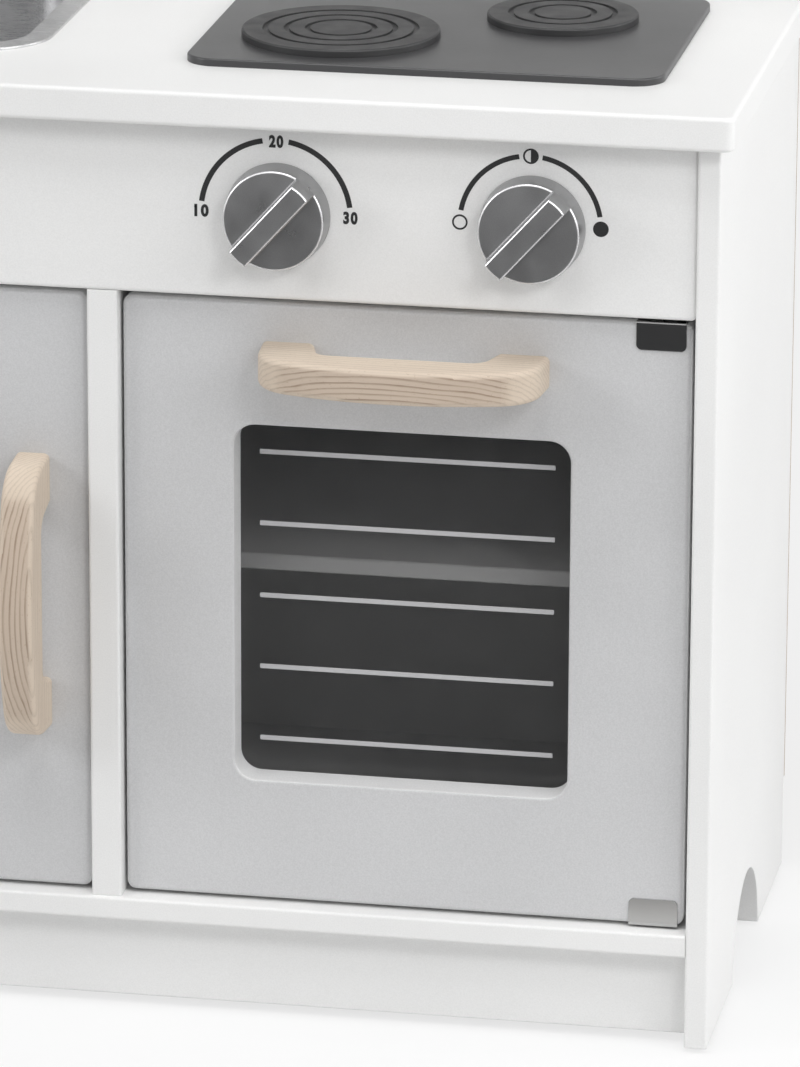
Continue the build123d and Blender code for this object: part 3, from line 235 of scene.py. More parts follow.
def layDarkMat():
    # seen only in reflections, as a painted reflection: steel and the pane mirror it as a dark room in front
    # of the object
    middle = (0, (felt["near"] + felt["far"]) / 2, felt["above"])
    bpy.ops.mesh.primitive_plane_add(size=1, location=middle)
    mat = bpy.context.object
    mat.scale = (felt["width"], felt["near"] - felt["far"], 1)
    mat.name = "darkMat"
    finish, tree, shader = newFinish("reflectedDarkRoom")
    place = objectPlace(tree)
    depthWay = put(tree, "SeparateXYZ", {0: place}).outputs[1]
    fade = spread(tree, depthWay, felt["near"], felt["dark"], 0.0, 1.0)
    colour = tint(tree, fade, felt["edge"], felt["colour"])
    tone = spread(tree, cloud(tree, place, felt["patch"]), *noiseSpan, *felt["uneven"])
    wire(tree, shader.inputs["Base Color"], shaded(tree, colour, tone))
    shader.inputs["Roughness"].default_value = felt["rough"]
    mat.data.materials.append(finish)
    settle(mat)
    mat.visible_camera = False
    mat.visible_diffuse = False
    mat.visible_shadow = False
    mat.visible_transmission = False


print("stage: camera, light, floor")
bpy.context.scene.view_settings.view_transform = "Standard"
bpy.ops.object.select_all(action="DESELECT")
placeCamera()
lightStudio()
layFloor()
layDarkMat()


skinBlend = {"broadScale": 0.22, "slowScale": 5.0, "swing": 4.0, "fine": 0.45, "broad": 0.55}


def makeRollerSkin():
    # the fine skin that a roller and spray leave on a painted board
    tree, given, out = newGroup("rollerSkin",
                                [("Grain", "Float", 760.0), ("Mottle", "Float", 0.02)],
                                [("Tone", "Float"), ("Height", "Float"), ("Gloss", "Float")])
    place = objectPlace(tree)
    fine = cloud(tree, place, given["Grain"], 2.0, 0.55)
    broad = cloud(tree, place, calc(tree, "MULTIPLY", given["Grain"], skinBlend["broadScale"]), 1.0)
    slow = cloud(tree, place, skinBlend["slowScale"], 3.0)
    mean = calc(tree, "ADD", calc(tree, "MULTIPLY", fine, 0.5), calc(tree, "MULTIPLY", slow, 0.5))
    swing = calc(tree, "SUBTRACT", mean, 0.5)
    reach = calc(tree, "MULTIPLY", given["Mottle"], skinBlend["swing"])
    height = calc(tree, "ADD", calc(tree, "MULTIPLY", fine, skinBlend["fine"]),
                  calc(tree, "MULTIPLY", broad, skinBlend["broad"]))
    wire(tree, out["Tone"], calc(tree, "ADD", 1.0, calc(tree, "MULTIPLY", swing, reach)))
    wire(tree, out["Height"], height)
    wire(tree, out["Gloss"], spread(tree, slow, *noiseSpan))
    return tree


edgeTurn = {"from": 0.985, "to": 0.80, "samples": 4}   # cosine between the bevelled and flat normals


def makeSoftEdge():
    # rounds the shading of a sharp edge and says where edges are
    tree, given, out = newGroup("softEdge", [("Radius", "Float", 0.0006)],
                                [("Edge", "Float"), ("Normal", "Vector")])
    turned = put(tree, "Bevel", {"Radius": given["Radius"]}, samples=edgeTurn["samples"]).outputs[0]
    flat = put(tree, "NewGeometry").outputs["Normal"]
    match = put(tree, "VectorMath", {0: turned, 1: flat}, operation="DOT_PRODUCT").outputs["Value"]
    wire(tree, out["Edge"], spread(tree, match, edgeTurn["from"], edgeTurn["to"]))
    wire(tree, out["Normal"], turned)
    return tree


rings = {"stretch": 0.12, "wanderScale": 90.0, "wander": 0.0036, "rippleScale": 420.0,
         "ripple": 0.0004, "late": (0.50, 0.86), "end": (0.88, 1.0), "weakest": 0.45,
         "breakScale": 260.0, "poreStretch": 0.07, "poreScale": 5200.0, "fleckStretch": 0.32,
         "fleckScale": 1500.0, "fleckAt": (0.66, 0.74), "shadeScale": 30.0}


def makeBeechFigure():
    # layers of growth rings cut at a slant; the vector runs along, across and into the wood
    tree, given, out = newGroup("beechFigure",
                                [("Place", "Vector", (0, 0, 0)), ("Pitch", "Float", 0.0024),
                                 ("Slant", "Float", 1.2)],
                                [("Ring", "Float"), ("Fleck", "Float"), ("Shade", "Float"),
                                 ("Height", "Float")])
    place = given["Place"]

    def drawnOut(ratio):
        return put(tree, "Mapping", {"Vector": place, "Scale": (ratio, 1.0, 1.0)}).outputs[0]

    def drift(scale, amount):
        return calc(tree, "MULTIPLY", calc(tree, "SUBTRACT", cloud(tree, long, scale), 0.5), amount)

    long = drawnOut(rings["stretch"])
    parts = put(tree, "SeparateXYZ", {0: place}).outputs
    slant = calc(tree, "ADD", parts[1], calc(tree, "MULTIPLY", parts[2], given["Slant"]))
    square = calc(tree, "MULTIPLY", given["Slant"], given["Slant"])
    slant = calc(tree, "DIVIDE", slant, calc(tree, "SQRT", calc(tree, "ADD", 1.0, square)))
    layer = calc(tree, "ADD", slant, drift(rings["wanderScale"], rings["wander"]))
    layer = calc(tree, "ADD", layer, drift(rings["rippleScale"], rings["ripple"]))
    count = calc(tree, "DIVIDE", layer, given["Pitch"])
    across = calc(tree, "FRACT", count)
    late = calc(tree, "MULTIPLY", spread(tree, across, *rings["late"], 0.0, 1.0, "SMOOTHSTEP"),
                spread(tree, across, *rings["end"], 1.0, 0.0))
    whole = put(tree, "CombineXYZ", {0: calc(tree, "FLOOR", count)}).outputs[0]
    strength = spread(tree, cloud(tree, whole, 3.7, 0.0), *noiseSpan, rings["weakest"], 1.0)
    breaks = cloud(tree, long, rings["breakScale"], 3.0, 0.65)
    broken = spread(tree, breaks, 0.36, 0.62, rings["weakest"], 1.0)
    ring = calc(tree, "MULTIPLY", late, calc(tree, "MULTIPLY", strength, broken), clamp=True)
    pores = cloud(tree, drawnOut(rings["poreStretch"]), rings["poreScale"], 2.0, 0.6)
    dots = cloud(tree, drawnOut(rings["fleckStretch"]), rings["fleckScale"], 1.0)
    shade = calc(tree, "ADD", calc(tree, "MULTIPLY", cloud(tree, long, rings["shadeScale"]), 0.6),
                 calc(tree, "MULTIPLY", pores, 0.4))
    height = calc(tree, "SUBTRACT", calc(tree, "MULTIPLY", pores, 0.6), calc(tree, "MULTIPLY", ring, 0.4))
    wire(tree, out["Ring"], ring)
    wire(tree, out["Fleck"], spread(tree, dots, *rings["fleckAt"]))
    wire(tree, out["Shade"], shade)
    wire(tree, out["Height"], height)
    return tree


def makeMouldGrain():
    # the fine etched texture of moulded plastic
    tree, given, out = newGroup("mouldGrain", [("Grain", "Float", 2600.0)],
                                [("Height", "Float"), ("Gloss", "Float"), ("Tone", "Float")])
    place = objectPlace(tree)
    fine = cloud(tree, place, given["Grain"], 2.0, 0.6)
    slow = cloud(tree, place, 60.0)
    blend = calc(tree, "ADD", calc(tree, "MULTIPLY", fine, 0.6), calc(tree, "MULTIPLY", slow, 0.4))
    wire(tree, out["Height"], fine)
    wire(tree, out["Gloss"], slow)
    wire(tree, out["Tone"], spread(tree, blend, *noiseSpan, 0.88, 1.12))
    return tree


def makeBrushMarks():
    # long fine scratches along X, as a sanding belt leaves them
    tree, given, out = newGroup("brushMarks", [("Grain", "Float", 3000.0), ("Stretch", "Float", 0.02)],
                                [("Height", "Float"), ("Gloss", "Float")])
    place = objectPlace(tree)
    stretch = put(tree, "CombineXYZ", {0: given["Stretch"], 1: 1.0, 2: 1.0}).outputs[0]
    drawn = put(tree, "VectorMath", {0: place, 1: stretch}, operation="MULTIPLY").outputs[0]
    lines = cloud(tree, drawn, given["Grain"], 3.0, 0.7)
    slow = cloud(tree, place, 40.0)
    blend = calc(tree, "ADD", calc(tree, "MULTIPLY", lines, 0.6), calc(tree, "MULTIPLY", slow, 0.4))
    wire(tree, out["Height"], lines)
    wire(tree, out["Gloss"], blend)
    return tree


rollerSkin = makeRollerSkin()
softEdge = makeSoftEdge()
beechFigure = makeBeechFigure()
mouldGrain = makeMouldGrain()
brushMarks = makeBrushMarks()
print("stage: shared effects")


def paintFinish(name, look):
    finish, tree, shader = newFinish(name)
    skin = useGroup(tree, rollerSkin, {"Grain": look["grain"], "Mottle": look["mottle"]})
    edge = useGroup(tree, softEdge, {"Radius": look["edge"]})
    turned = put(tree, "TexCoord").outputs["Normal"]
    wayOut = put(tree, "SeparateXYZ", {0: turned}).outputs[1]
    aside = spread(tree, calc(tree, "ABSOLUTE", wayOut), 0.75, 0.35)   # faces turned away from the front, which take painted light: a paler colour on sides and reveals
    colour = tint(tree, aside, look["colour"], look["paintedSideLight"])
    # painted highlight: convex edges take a paler colour
    colour = tint(tree, calc(tree, "MULTIPLY", edge["Edge"], look["edgeShadingShare"]), colour, look["paintedEdgeShading"])
    wire(tree, shader.inputs["Base Color"], shaded(tree, colour, skin["Tone"]))
    wire(tree, shader.inputs["Roughness"], spread(tree, skin["Gloss"], 0.0, 1.0, *look["rough"]))
    bump(tree, shader, skin["Height"], look["depth"], edge["Normal"])
    return finish


def plasticFinish(name, look):
    finish, tree, shader = newFinish(name)
    skin = useGroup(tree, mouldGrain, {"Grain": look["grain"]})
    edge = useGroup(tree, softEdge, {"Radius": look["edge"]})
    # painted highlight: convex edges take a paler colour
    colour = tint(tree, calc(tree, "MULTIPLY", edge["Edge"], look["edgeShadingShare"]), look["colour"], look["paintedEdgeShading"])
    wire(tree, shader.inputs["Base Color"], shaded(tree, colour, skin["Tone"]))
    wire(tree, shader.inputs["Roughness"], spread(tree, skin["Gloss"], *noiseSpan, *look["rough"]))
    shader.inputs["Metallic"].default_value = look["metal"]
    bump(tree, shader, skin["Height"], look["depth"], edge["Normal"])
    return finish


def steelFinish(name, look):
    finish, tree, shader = newFinish(name)
    marks = useGroup(tree, brushMarks, {"Grain": look["grain"], "Stretch": look["stretch"]})
    edge = useGroup(tree, softEdge, {"Radius": look["edge"]})
    # painted edge shading: convex edges are paler as a painted highlight on most steel, and darker as a
    # painted dark reflection on the clips
    colour = tint(tree, calc(tree, "MULTIPLY", edge["Edge"], look["edgeShadingShare"]), look["colour"], look["paintedEdgeShading"])
    tone = spread(tree, marks["Gloss"], *noiseSpan, 0.93, 1.05)
    wire(tree, shader.inputs["Base Color"], shaded(tree, colour, tone))
    wire(tree, shader.inputs["Roughness"], spread(tree, marks["Gloss"], *noiseSpan, *look["rough"]))
    shader.inputs["Metallic"].default_value = 1.0
    bump(tree, shader, marks["Height"], look["depth"], edge["Normal"])
    return finish


def beechFinish(name, look):
    finish, tree, shader = newFinish(name)
    place = put(tree, "Mapping", {"Vector": objectPlace(tree), "Location": look["shift"],
                                  "Rotation": look["turn"]}, vector_type="POINT").outputs[0]
    figure = useGroup(tree, beechFigure, {"Place": place, "Pitch": look["pitch"], "Slant": look["slant"]})
    turned = put(tree, "TexCoord").outputs["Normal"]
    forward = calc(tree, "MULTIPLY", put(tree, "SeparateXYZ", {0: turned}).outputs[1], -1.0)
    # painted light and sheen by facing: the front is darker, the sides and top paler with fainter rings
    facing = spread(tree, forward, 0.84, 0.985, 0.0, 1.0, "SMOOTHSTEP")
    shade = calc(tree, "ADD", calc(tree, "MULTIPLY", spread(tree, figure["Shade"], 0.35, 0.65), 0.5),
                 calc(tree, "MULTIPLY", facing, 0.5))
    base = tint(tree, shade, look["light"], look["deep"])   # random figure tone, plus painted light: the front is deeper, the sides and top paler
    # painted sheen: growth rings fade on the sides and top
    strength = spread(tree, facing, 0.0, 1.0, look["ringUnderPaintedSheen"], look["ring"])
    lined = tint(tree, calc(tree, "MULTIPLY", figure["Ring"], strength), base, look["ringColour"])
    flecked = tint(tree, calc(tree, "MULTIPLY", figure["Fleck"], look["fleck"]), lined, look["fleckColour"])
    grainy = shaded(tree, flecked, spread(tree, figure["Height"], 0.10, 0.45, 0.93, 1.06))
    wire(tree, shader.inputs["Base Color"], grainy)
    wire(tree, shader.inputs["Roughness"], spread(tree, figure["Shade"], *noiseSpan, 0.50, 0.62))
    shader.inputs["Specular IOR Level"].default_value = 0.35
    bump(tree, shader, figure["Height"], look["depth"])
    return finish


# in these looks the edge colour is a painted highlight on convex edges, darker on the clip steel as a
# painted dark reflection
whiteLook = {"colour": (0.83, 0.83, 0.825, 1.0), "paintedEdgeShading": (0.88, 0.88, 0.88, 1.0), "edgeShadingShare": 0.6,
             "paintedSideLight": (0.83, 0.83, 0.825, 1.0), "rough": (0.36, 0.46), "grain": 1300.0,
             "mottle": 0.075, "edge": 0.0010, "depth": 0.00008}
# the side colour is painted light on faces turned away from the front
greyLook = {"colour": (0.595, 0.597, 0.605, 1.0), "paintedEdgeShading": (0.74, 0.74, 0.74, 1.0), "edgeShadingShare": 0.5,
            "paintedSideLight": (0.84, 0.842, 0.845, 1.0), "rough": (0.38, 0.48), "grain": 1200.0,
            "mottle": 0.15, "edge": 0.0005, "depth": 0.00008}
hobLook = {"colour": (0.040, 0.040, 0.042, 1.0), "paintedEdgeShading": (0.12, 0.12, 0.12, 1.0), "edgeShadingShare": 0.5,
           "paintedSideLight": (0.045, 0.045, 0.047, 1.0), "rough": (0.25, 0.36), "grain": 900.0,
           "mottle": 0.03, "edge": 0.0006, "depth": 0.00004}
knobLook = {"colour": (0.36, 0.36, 0.365, 1.0), "paintedEdgeShading": (0.70, 0.70, 0.71, 1.0), "edgeShadingShare": 0.3,
            "rough": (0.27, 0.34), "grain": 2000.0, "edge": 0.0003, "metal": 0.80, "depth": 0.00001}
# a pale, less metallic rim: a painted highlight on the knobs' bevelled edges
rimHighlightLook = {"colour": (0.88, 0.88, 0.89, 1.0), "paintedEdgeShading": (0.93, 0.93, 0.94, 1.0), "edgeShadingShare": 0.3,
           "rough": (0.17, 0.22), "grain": 2000.0, "edge": 0.0003, "metal": 0.55, "depth": 0.000002}
tapLook = {"colour": (0.36, 0.36, 0.37, 1.0), "paintedEdgeShading": (0.75, 0.75, 0.76, 1.0), "edgeShadingShare": 0.5,
           "rough": (0.26, 0.36), "grain": 2400.0, "edge": 0.0006, "metal": 0.35, "depth": 0.00002}
burnerLook = {"colour": (0.022, 0.022, 0.023, 1.0), "paintedEdgeShading": (0.12, 0.12, 0.12, 1.0), "edgeShadingShare": 0.4,
              "rough": (0.42, 0.55), "grain": 2200.0, "edge": 0.0005, "metal": 0.0, "depth": 0.00004}
nylonLook = {"colour": (0.012, 0.012, 0.012, 1.0), "paintedEdgeShading": (0.05, 0.05, 0.05, 1.0), "edgeShadingShare": 0.4,
             "rough": (0.42, 0.55), "grain": 2600.0, "edge": 0.0003, "metal": 0.0, "depth": 0.00002}
dyes = {"hot": {"colour": (0.52, 0.030, 0.022, 1.0), "paintedEdgeShading": (0.70, 0.15, 0.12, 1.0)},
        "cold": {"colour": (0.025, 0.10, 0.42, 1.0), "paintedEdgeShading": (0.15, 0.25, 0.60, 1.0)}}
# the clip's edge colour is darker than its steel: a painted dark reflection along its edges
clipLook = {"colour": (0.50, 0.50, 0.50, 1.0), "paintedEdgeShading": (0.22, 0.22, 0.22, 1.0), "edgeShadingShare": 0.7,
            "rough": (0.07, 0.12), "grain": 2600.0, "stretch": 0.03, "edge": 0.0004, "depth": 0.000002}
zincLook = {"colour": (0.56, 0.55, 0.52, 1.0), "paintedEdgeShading": (0.75, 0.74, 0.70, 1.0), "edgeShadingShare": 0.6,
            "rough": (0.26, 0.40), "grain": 3000.0, "stretch": 0.6, "edge": 0.0003, "depth": 0.000008}
bowlLook = {"colour": (0.58, 0.58, 0.585, 1.0), "paintedEdgeShading": (0.80, 0.80, 0.80, 1.0), "edgeShadingShare": 0.6,
            "rough": (0.22, 0.34), "grain": 2600.0, "stretch": 0.02, "edge": 0.0006, "depth": 0.000012}
# the rings are weaker on the sides and top, a painted sheen
beechLook = {"light": (0.70, 0.60, 0.49, 1.0), "deep": (0.53, 0.43, 0.345, 1.0),
             "ringColour": (0.27, 0.185, 0.125, 1.0), "ring": 0.90, "ringUnderPaintedSheen": 0.16,
             "fleckColour": (0.42, 0.31, 0.22, 1.0), "fleck": 0.55,
             "pitch": 0.0024, "slant": 1.2, "depth": 0.00008,
             "shift": (0, 0, 0), "turn": (0, 0, 0)}


paneLook = {"clean": (0.045, 0.045, 0.047, 1.0), "dusty": (0.075, 0.075, 0.078, 1.0), "dust": 160.0,
            "haze": 26.0, "rough": (0.04, 0.09), "alpha": (0.24, 0.27), "bend": 1.49,
            "wave": 45.0, "depth": 0.00004}


def paneFinish():
    finish, tree, shader = newFinish("smokedPane")
    place = objectPlace(tree)
    dust = spread(tree, cloud(tree, place, paneLook["dust"], 4.0, 0.65), 0.40, 0.66)
    haze = cloud(tree, place, paneLook["haze"], 3.0)
    wire(tree, shader.inputs["Base Color"], tint(tree, dust, paneLook["clean"], paneLook["dusty"]))
    shader.inputs["IOR"].default_value = paneLook["bend"]
    wire(tree, shader.inputs["Roughness"], spread(tree, haze, *noiseSpan, *paneLook["rough"]))
    wire(tree, shader.inputs["Alpha"], spread(tree, haze, *noiseSpan, *paneLook["alpha"]))
    bump(tree, shader, cloud(tree, place, paneLook["wave"], 1.0), paneLook["depth"])
    return finish


boardLook = {"coat": (0.80, 0.80, 0.79, 1.0), "light": (0.33, 0.21, 0.12, 1.0),
             "deep": (0.27, 0.165, 0.095, 1.0), "fibre": (0.46, 0.32, 0.20, 1.0), "felt": 900.0,
             "patch": 14.0, "rough": (0.45, 0.75), "depth": 0.00008}


def boardBackFinish():
    # thin board: bare brown fibre at the back, white coat towards the bays
    finish, tree, shader = newFinish("hardboard")
    place = objectPlace(tree)
    fibre = cloud(tree, place, boardLook["felt"], 4.0, 0.7)
    slow = cloud(tree, place, boardLook["patch"], 3.0)
    brown = tint(tree, spread(tree, slow, *noiseSpan), boardLook["light"], boardLook["deep"])
    brown = tint(tree, spread(tree, fibre, 0.62, 0.72, 0.0, 0.5), brown, boardLook["fibre"])
    depthWay = put(tree, "SeparateXYZ", {0: place}).outputs[1]
    low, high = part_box("back_panel")
    outside = calc(tree, "GREATER_THAN", depthWay, (low.y + high.y) / 2)
    wire(tree, shader.inputs["Base Color"], tint(tree, outside, boardLook["coat"], brown))
    wire(tree, shader.inputs["Roughness"], spread(tree, fibre, *noiseSpan, *boardLook["rough"]))
    bump(tree, shader, fibre, boardLook["depth"])
    return finish


inkLook = {"dial": (0.020, 0.020, 0.021, 1.0), "line": (0.50, 0.50, 0.51, 1.0), "wear": 1400.0,
           "worn": (0.92, 1.08), "sheen": 700.0, "rough": (0.45, 0.6)}


def inkFinish(name, colour):
    finish, tree, shader = newFinish(name)
    place = objectPlace(tree)
    worn = spread(tree, cloud(tree, place, inkLook["wear"]), *noiseSpan, *inkLook["worn"])
    sheen = cloud(tree, place, inkLook["sheen"], 1.0)
    wire(tree, shader.inputs["Base Color"], shaded(tree, colour, worn))
    wire(tree, shader.inputs["Roughness"], spread(tree, sheen, *noiseSpan, *inkLook["rough"]))
    return finish


whitePaint = paintFinish("whitePaint", whiteLook)
greyPaint = paintFinish("greyPaint", greyLook)
hobPaint = paintFinish("hobPaint", hobLook)
knobPlastic = plasticFinish("knobPlastic", knobLook)
knobRimHighlight = plasticFinish("knobRimHighlight", rimHighlightLook)
tapPlastic = plasticFinish("tapPlastic", tapLook)
burnerPlastic = plasticFinish("burnerPlastic", burnerLook)
blackNylon = plasticFinish("blackNylon", nylonLook)
clipSteel = steelFinish("clipSteel", clipLook)
zincSteel = steelFinish("zincSteel", zincLook)
bowlSteel = steelFinish("bowlSteel", bowlLook)
smokedPane = paneFinish()
hardboard = boardBackFinish()
dialInk = inkFinish("dialInk", inkLook["dial"])
lineInk = inkFinish("lineInk", inkLook["line"])
hotDye = plasticFinish("hotDye", dict(nylonLook, **dyes["hot"]))
coldDye = plasticFinish("coldDye", dict(nylonLook, **dyes["cold"]))


def beechFor(name, node, upright=False, **changes):
    # centres the figure on the piece, with its long way along the wood
    low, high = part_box(node)
    middle = (low + high) / 2
    look = dict(beechLook, **changes)
    if upright:
        look["turn"] = (0, math.pi / 2, 0)
        look["shift"] = (-middle.z, -middle.y, middle.x)
    else:
        look["shift"] = (-middle.x, -middle.y, -middle.z)
    return beechFinish(name, look)


bareBeech = beechFinish("bareBeech", dict(beechLook, pitch=0.0031))   # wider rings on the pegs
ovenBeech = beechFor("ovenBeech", "oven_handle")
cupboardBeech = beechFor("cupboardBeech", "cupboard_handle", upright=True)

finishOfSlot = {
    "white_paint": whitePaint, "grey_paint": greyPaint, "beech": bareBeech, "knob_plastic": knobPlastic,
    "smoked_pane": smokedPane, "clip_steel": clipSteel, "fastener_steel": zincSteel,
    "black_nylon": blackNylon, "hardboard": hardboard, "bowl_steel": bowlSteel,
    "tap_plastic": tapPlastic, "hob_paint": hobPaint, "burner_plastic": burnerPlastic,
}
finishOfHandle = {"oven_handle": ovenBeech, "cupboard_handle": cupboardBeech}
slotOfNode = {part["node"]: part["material_slot"] for part in frame["record"]["subparts"]}
for name, node in nodes.items():
    finish = finishOfHandle.get(name, finishOfSlot[slotOfNode[name]])
    if not node.material_slots:
        node.data.materials.append(finish)
    for place in node.material_slots:
        place.material = finish
print("stage: finishes on", len(nodes), "nodes")


def pick(kind, test):
    mesh = bmesh.from_edit_mesh(bpy.context.object.data)
    ways = {"verts": (True, False, False), "edges": (False, True, False), "faces": (False, False, True)}
    bpy.context.tool_settings.mesh_select_mode = ways[kind]
    for part in [*mesh.faces, *mesh.edges, *mesh.verts]:
        part.select_set(False)
    for part in getattr(mesh, kind):
        if test(part):
            part.select_set(True)
    mesh.select_flush_mode()
    bmesh.update_edit_mesh(bpy.context.object.data)


def editing(on):
    bpy.ops.object.mode_set(mode="EDIT" if on else "OBJECT")
    if on:
        bpy.context.tool_settings.mesh_select_mode = (True, False, False)
        bpy.ops.mesh.select_all(action="SELECT")


def raisePrint():
    # flat faces in edit mode become a thin closed layer of ink
    bpy.context.tool_settings.mesh_select_mode = (True, False, False)
    bpy.ops.mesh.select_all(action="SELECT")
    bpy.ops.mesh.extrude_region_move(TRANSFORM_OT_translate={"value": (0, -dials["ink"], 0)})
    bpy.ops.mesh.select_all(action="SELECT")
    bpy.ops.mesh.normals_make_consistent(inside=False)
    editing(False)


def together(pieces, name):
    only(pieces[0])
    for piece in pieces:
        piece.select_set(True)
    bpy.ops.object.join()
    whole = bpy.context.object
    whole.name = name
    whole.data.name = name
    return whole


def dress(piece, finish, body):
    piece.data.materials.clear()
    piece.data.materials.append(finish)
    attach(piece, body)


front = (math.pi / 2, 0, 0)  # turns a flat primitive to face the front


# the prints of the two dials, on the control panel's face
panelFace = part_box("control_panel")[0].y
dials = {
    "ink": 0.1 * mm, "sides": 720, "dotSides": 64,
    "timer": {"centre": (0.0917, 0.4423), "radius": 39.0 * mm, "stroke": 2.8 * mm,
              "arcs": ((99.9, 172.4), (8.1, 80.1)), "height": 6.7 * mm, "width": 7.5 * mm,
              "numbers": (("10", -38.8 * mm, 0.1 * mm), ("20", 0.3 * mm, 38.4 * mm),
                          ("30", 39.0 * mm, 0.0)),
              "type": {"weight": 0.052, "space": 1.24, "curve": 8, "thick": 0.01, "merge": 0.0001},
              "flag": {"long": 1.9 * mm, "wide": 0.95 * mm, "slope": 0.62, "right": -2.95 * mm,
                       "up": 2.1 * mm, "cut": 0.36}},
    "heat": {"centre": (0.2239, 0.4432), "radius": 36.4 * mm, "stroke": 2.6 * mm,
             "arcs": ((99.4, 170.2), (9.9, 80.6)), "mark": 4.05 * mm, "ring": 0.95 * mm},
}


def dialArcs(dial):
    centre = (dial["centre"][0], panelFace, dial["centre"][1])
    outer = dial["radius"] + dial["stroke"] / 2
    inner = dial["radius"] - dial["stroke"] / 2
    bpy.ops.object.select_all(action="DESELECT")
    bpy.ops.mesh.primitive_circle_add(vertices=dials["sides"], radius=outer, location=centre, rotation=front)
    band = bpy.context.object
    editing(True)
    bpy.ops.mesh.extrude_region_move()
    ratio = inner / outer
    bpy.ops.transform.resize(value=(ratio, 1, ratio), center_override=centre)

    def outside(face):
        middle = face.calc_center_median()
        angle = math.degrees(math.atan2(middle.y, middle.x))
        return not any(low < angle < high for low, high in dial["arcs"])
    pick("faces", outside)
    bpy.ops.mesh.delete(type="FACE")
    raisePrint()
    settle(band)
    return band


def dialNumber(dial, text, right, up):
    bpy.ops.object.select_all(action="DESELECT")
    bpy.ops.object.text_add(location=(0, 0, 0))
    number = bpy.context.object
    letter = dial["type"]
    number.data.body = text
    number.data.align_x = "CENTER"
    number.data.align_y = "CENTER"
    number.data.offset = letter["weight"]
    number.data.space_character = letter["space"]
    number.data.resolution_u = letter["curve"]
    number.data.extrude = letter["thick"]
    bpy.ops.object.convert(target="MESH")
    number = bpy.context.object
    editing(True)
    bpy.ops.mesh.remove_doubles(threshold=letter["merge"])
    bpy.ops.mesh.normals_make_consistent(inside=False)
    editing(False)
    size = number.dimensions
    number.scale = (dial["width"] / size.x, dial["height"] / size.y, dials["ink"] / size.z)
    settle(number)
    corners = [Vector(c) for c in number.bound_box]
    middle = sum(corners, Vector()) / len(corners)
    number.rotation_euler = front
    number.location = (dial["centre"][0] + right - middle.x, panelFace - dials["ink"] / 2,
                       dial["centre"][1] + up - middle.y)
    settle(number)
    return number


def dialMark(dial, right, up, kind):
    place = (dial["centre"][0] + right, panelFace, dial["centre"][1] + up)
    made = []
    if kind != "full":
        bpy.ops.object.select_all(action="DESELECT")
        bpy.ops.mesh.primitive_circle_add(vertices=dials["dotSides"], radius=dial["mark"],
                                          location=place, rotation=front)
        made.append(bpy.context.object)
        editing(True)
        bpy.ops.mesh.extrude_region_move()
        ratio = 1 - dial["ring"] / dial["mark"]
        bpy.ops.transform.resize(value=(ratio, 1, ratio), center_override=place)
        raisePrint()
    if kind != "open":
        radius = dial["mark"] if kind == "full" else dial["mark"] - dial["ring"]
        bpy.ops.object.select_all(action="DESELECT")
        bpy.ops.mesh.primitive_circle_add(vertices=dials["dotSides"], radius=radius, fill_type="NGON",
                                          location=place, rotation=front)
        made.append(bpy.context.object)
        editing(True)
        if kind == "half":
            bpy.ops.mesh.bisect(plane_co=place, plane_no=(1, 0, 0), clear_inner=True)
        raisePrint()
    for piece in made:
        settle(piece)
    return made


def numberFlag(dial, right, up):
    # the short slanted stroke at the head of the figure one
    flag = dial["flag"]
    place = (dial["centre"][0] + right + flag["right"], panelFace - dials["ink"] / 2,
             dial["centre"][1] + up + flag["up"])
    bpy.ops.object.select_all(action="DESELECT")
    bpy.ops.mesh.primitive_cube_add(size=1, location=place)
    stroke = bpy.context.object
    stroke.scale = (flag["long"], dials["ink"], flag["wide"])
    stroke.rotation_euler = (0, -flag["slope"], 0)
    settle(stroke)
    editing(True)
    cut = place[0] + flag["long"] * flag["cut"]
    bpy.ops.mesh.bisect(plane_co=(cut, 0, 0), plane_no=(1, 0, 0), clear_outer=True, use_fill=True)
    editing(False)
    return stroke


timerPrint = [dialArcs(dials["timer"])]
for text, right, up in dials["timer"]["numbers"]:
    timerPrint.append(dialNumber(dials["timer"], text, right, up))
    if text[0] == "1":
        timerPrint.append(numberFlag(dials["timer"], right, up))
timerPrint = together(timerPrint, "timer_dial_print")
heat = dials["heat"]
heatPrint = [dialArcs(heat)]
heatPrint += dialMark(heat, -heat["radius"], 0, "open")
heatPrint += dialMark(heat, 0, heat["radius"], "half")
heatPrint += dialMark(heat, heat["radius"], 0, "full")
heatPrint = together(heatPrint, "heat_dial_print")
for piece in (timerPrint, heatPrint):
    dress(piece, dialInk, "carcass")
print("stage: dial prints")


# the printed rack lines on the oven pane
rack = {"left": 78.2 * mm, "right": 234.3 * mm, "heights": (307.8, 268.8, 229.3, 190.1, 150.5),
        "width": 2.6 * mm, "ink": 0.08 * mm, "corner": 0.1 * mm, "segments": 3}


def rackLines():
    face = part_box("oven_pane")[0].y
    middle = ((rack["left"] + rack["right"]) / 2, face - rack["ink"] / 2, rack["heights"][0] * mm)
    bpy.ops.object.select_all(action="DESELECT")
    bpy.ops.mesh.primitive_cube_add(size=1, location=middle,
                                    scale=(rack["right"] - rack["left"], rack["ink"], rack["width"]))
    line = bpy.context.object
    settle(line)
    editing(True)
    pick("edges", lambda e: abs(e.verts[0].co.y - e.verts[1].co.y) > rack["ink"] / 2)
    bpy.ops.mesh.bevel(offset=rack["corner"], segments=rack["segments"])
    editing(False)
    lines = [line]
    for height in rack["heights"][1:]:
        only(line)
        bpy.ops.object.duplicate()
        copy = bpy.context.object
        copy.location.z = (height - rack["heights"][0]) * mm
        settle(copy)
        lines.append(copy)
    return together(lines, "pane_lines")


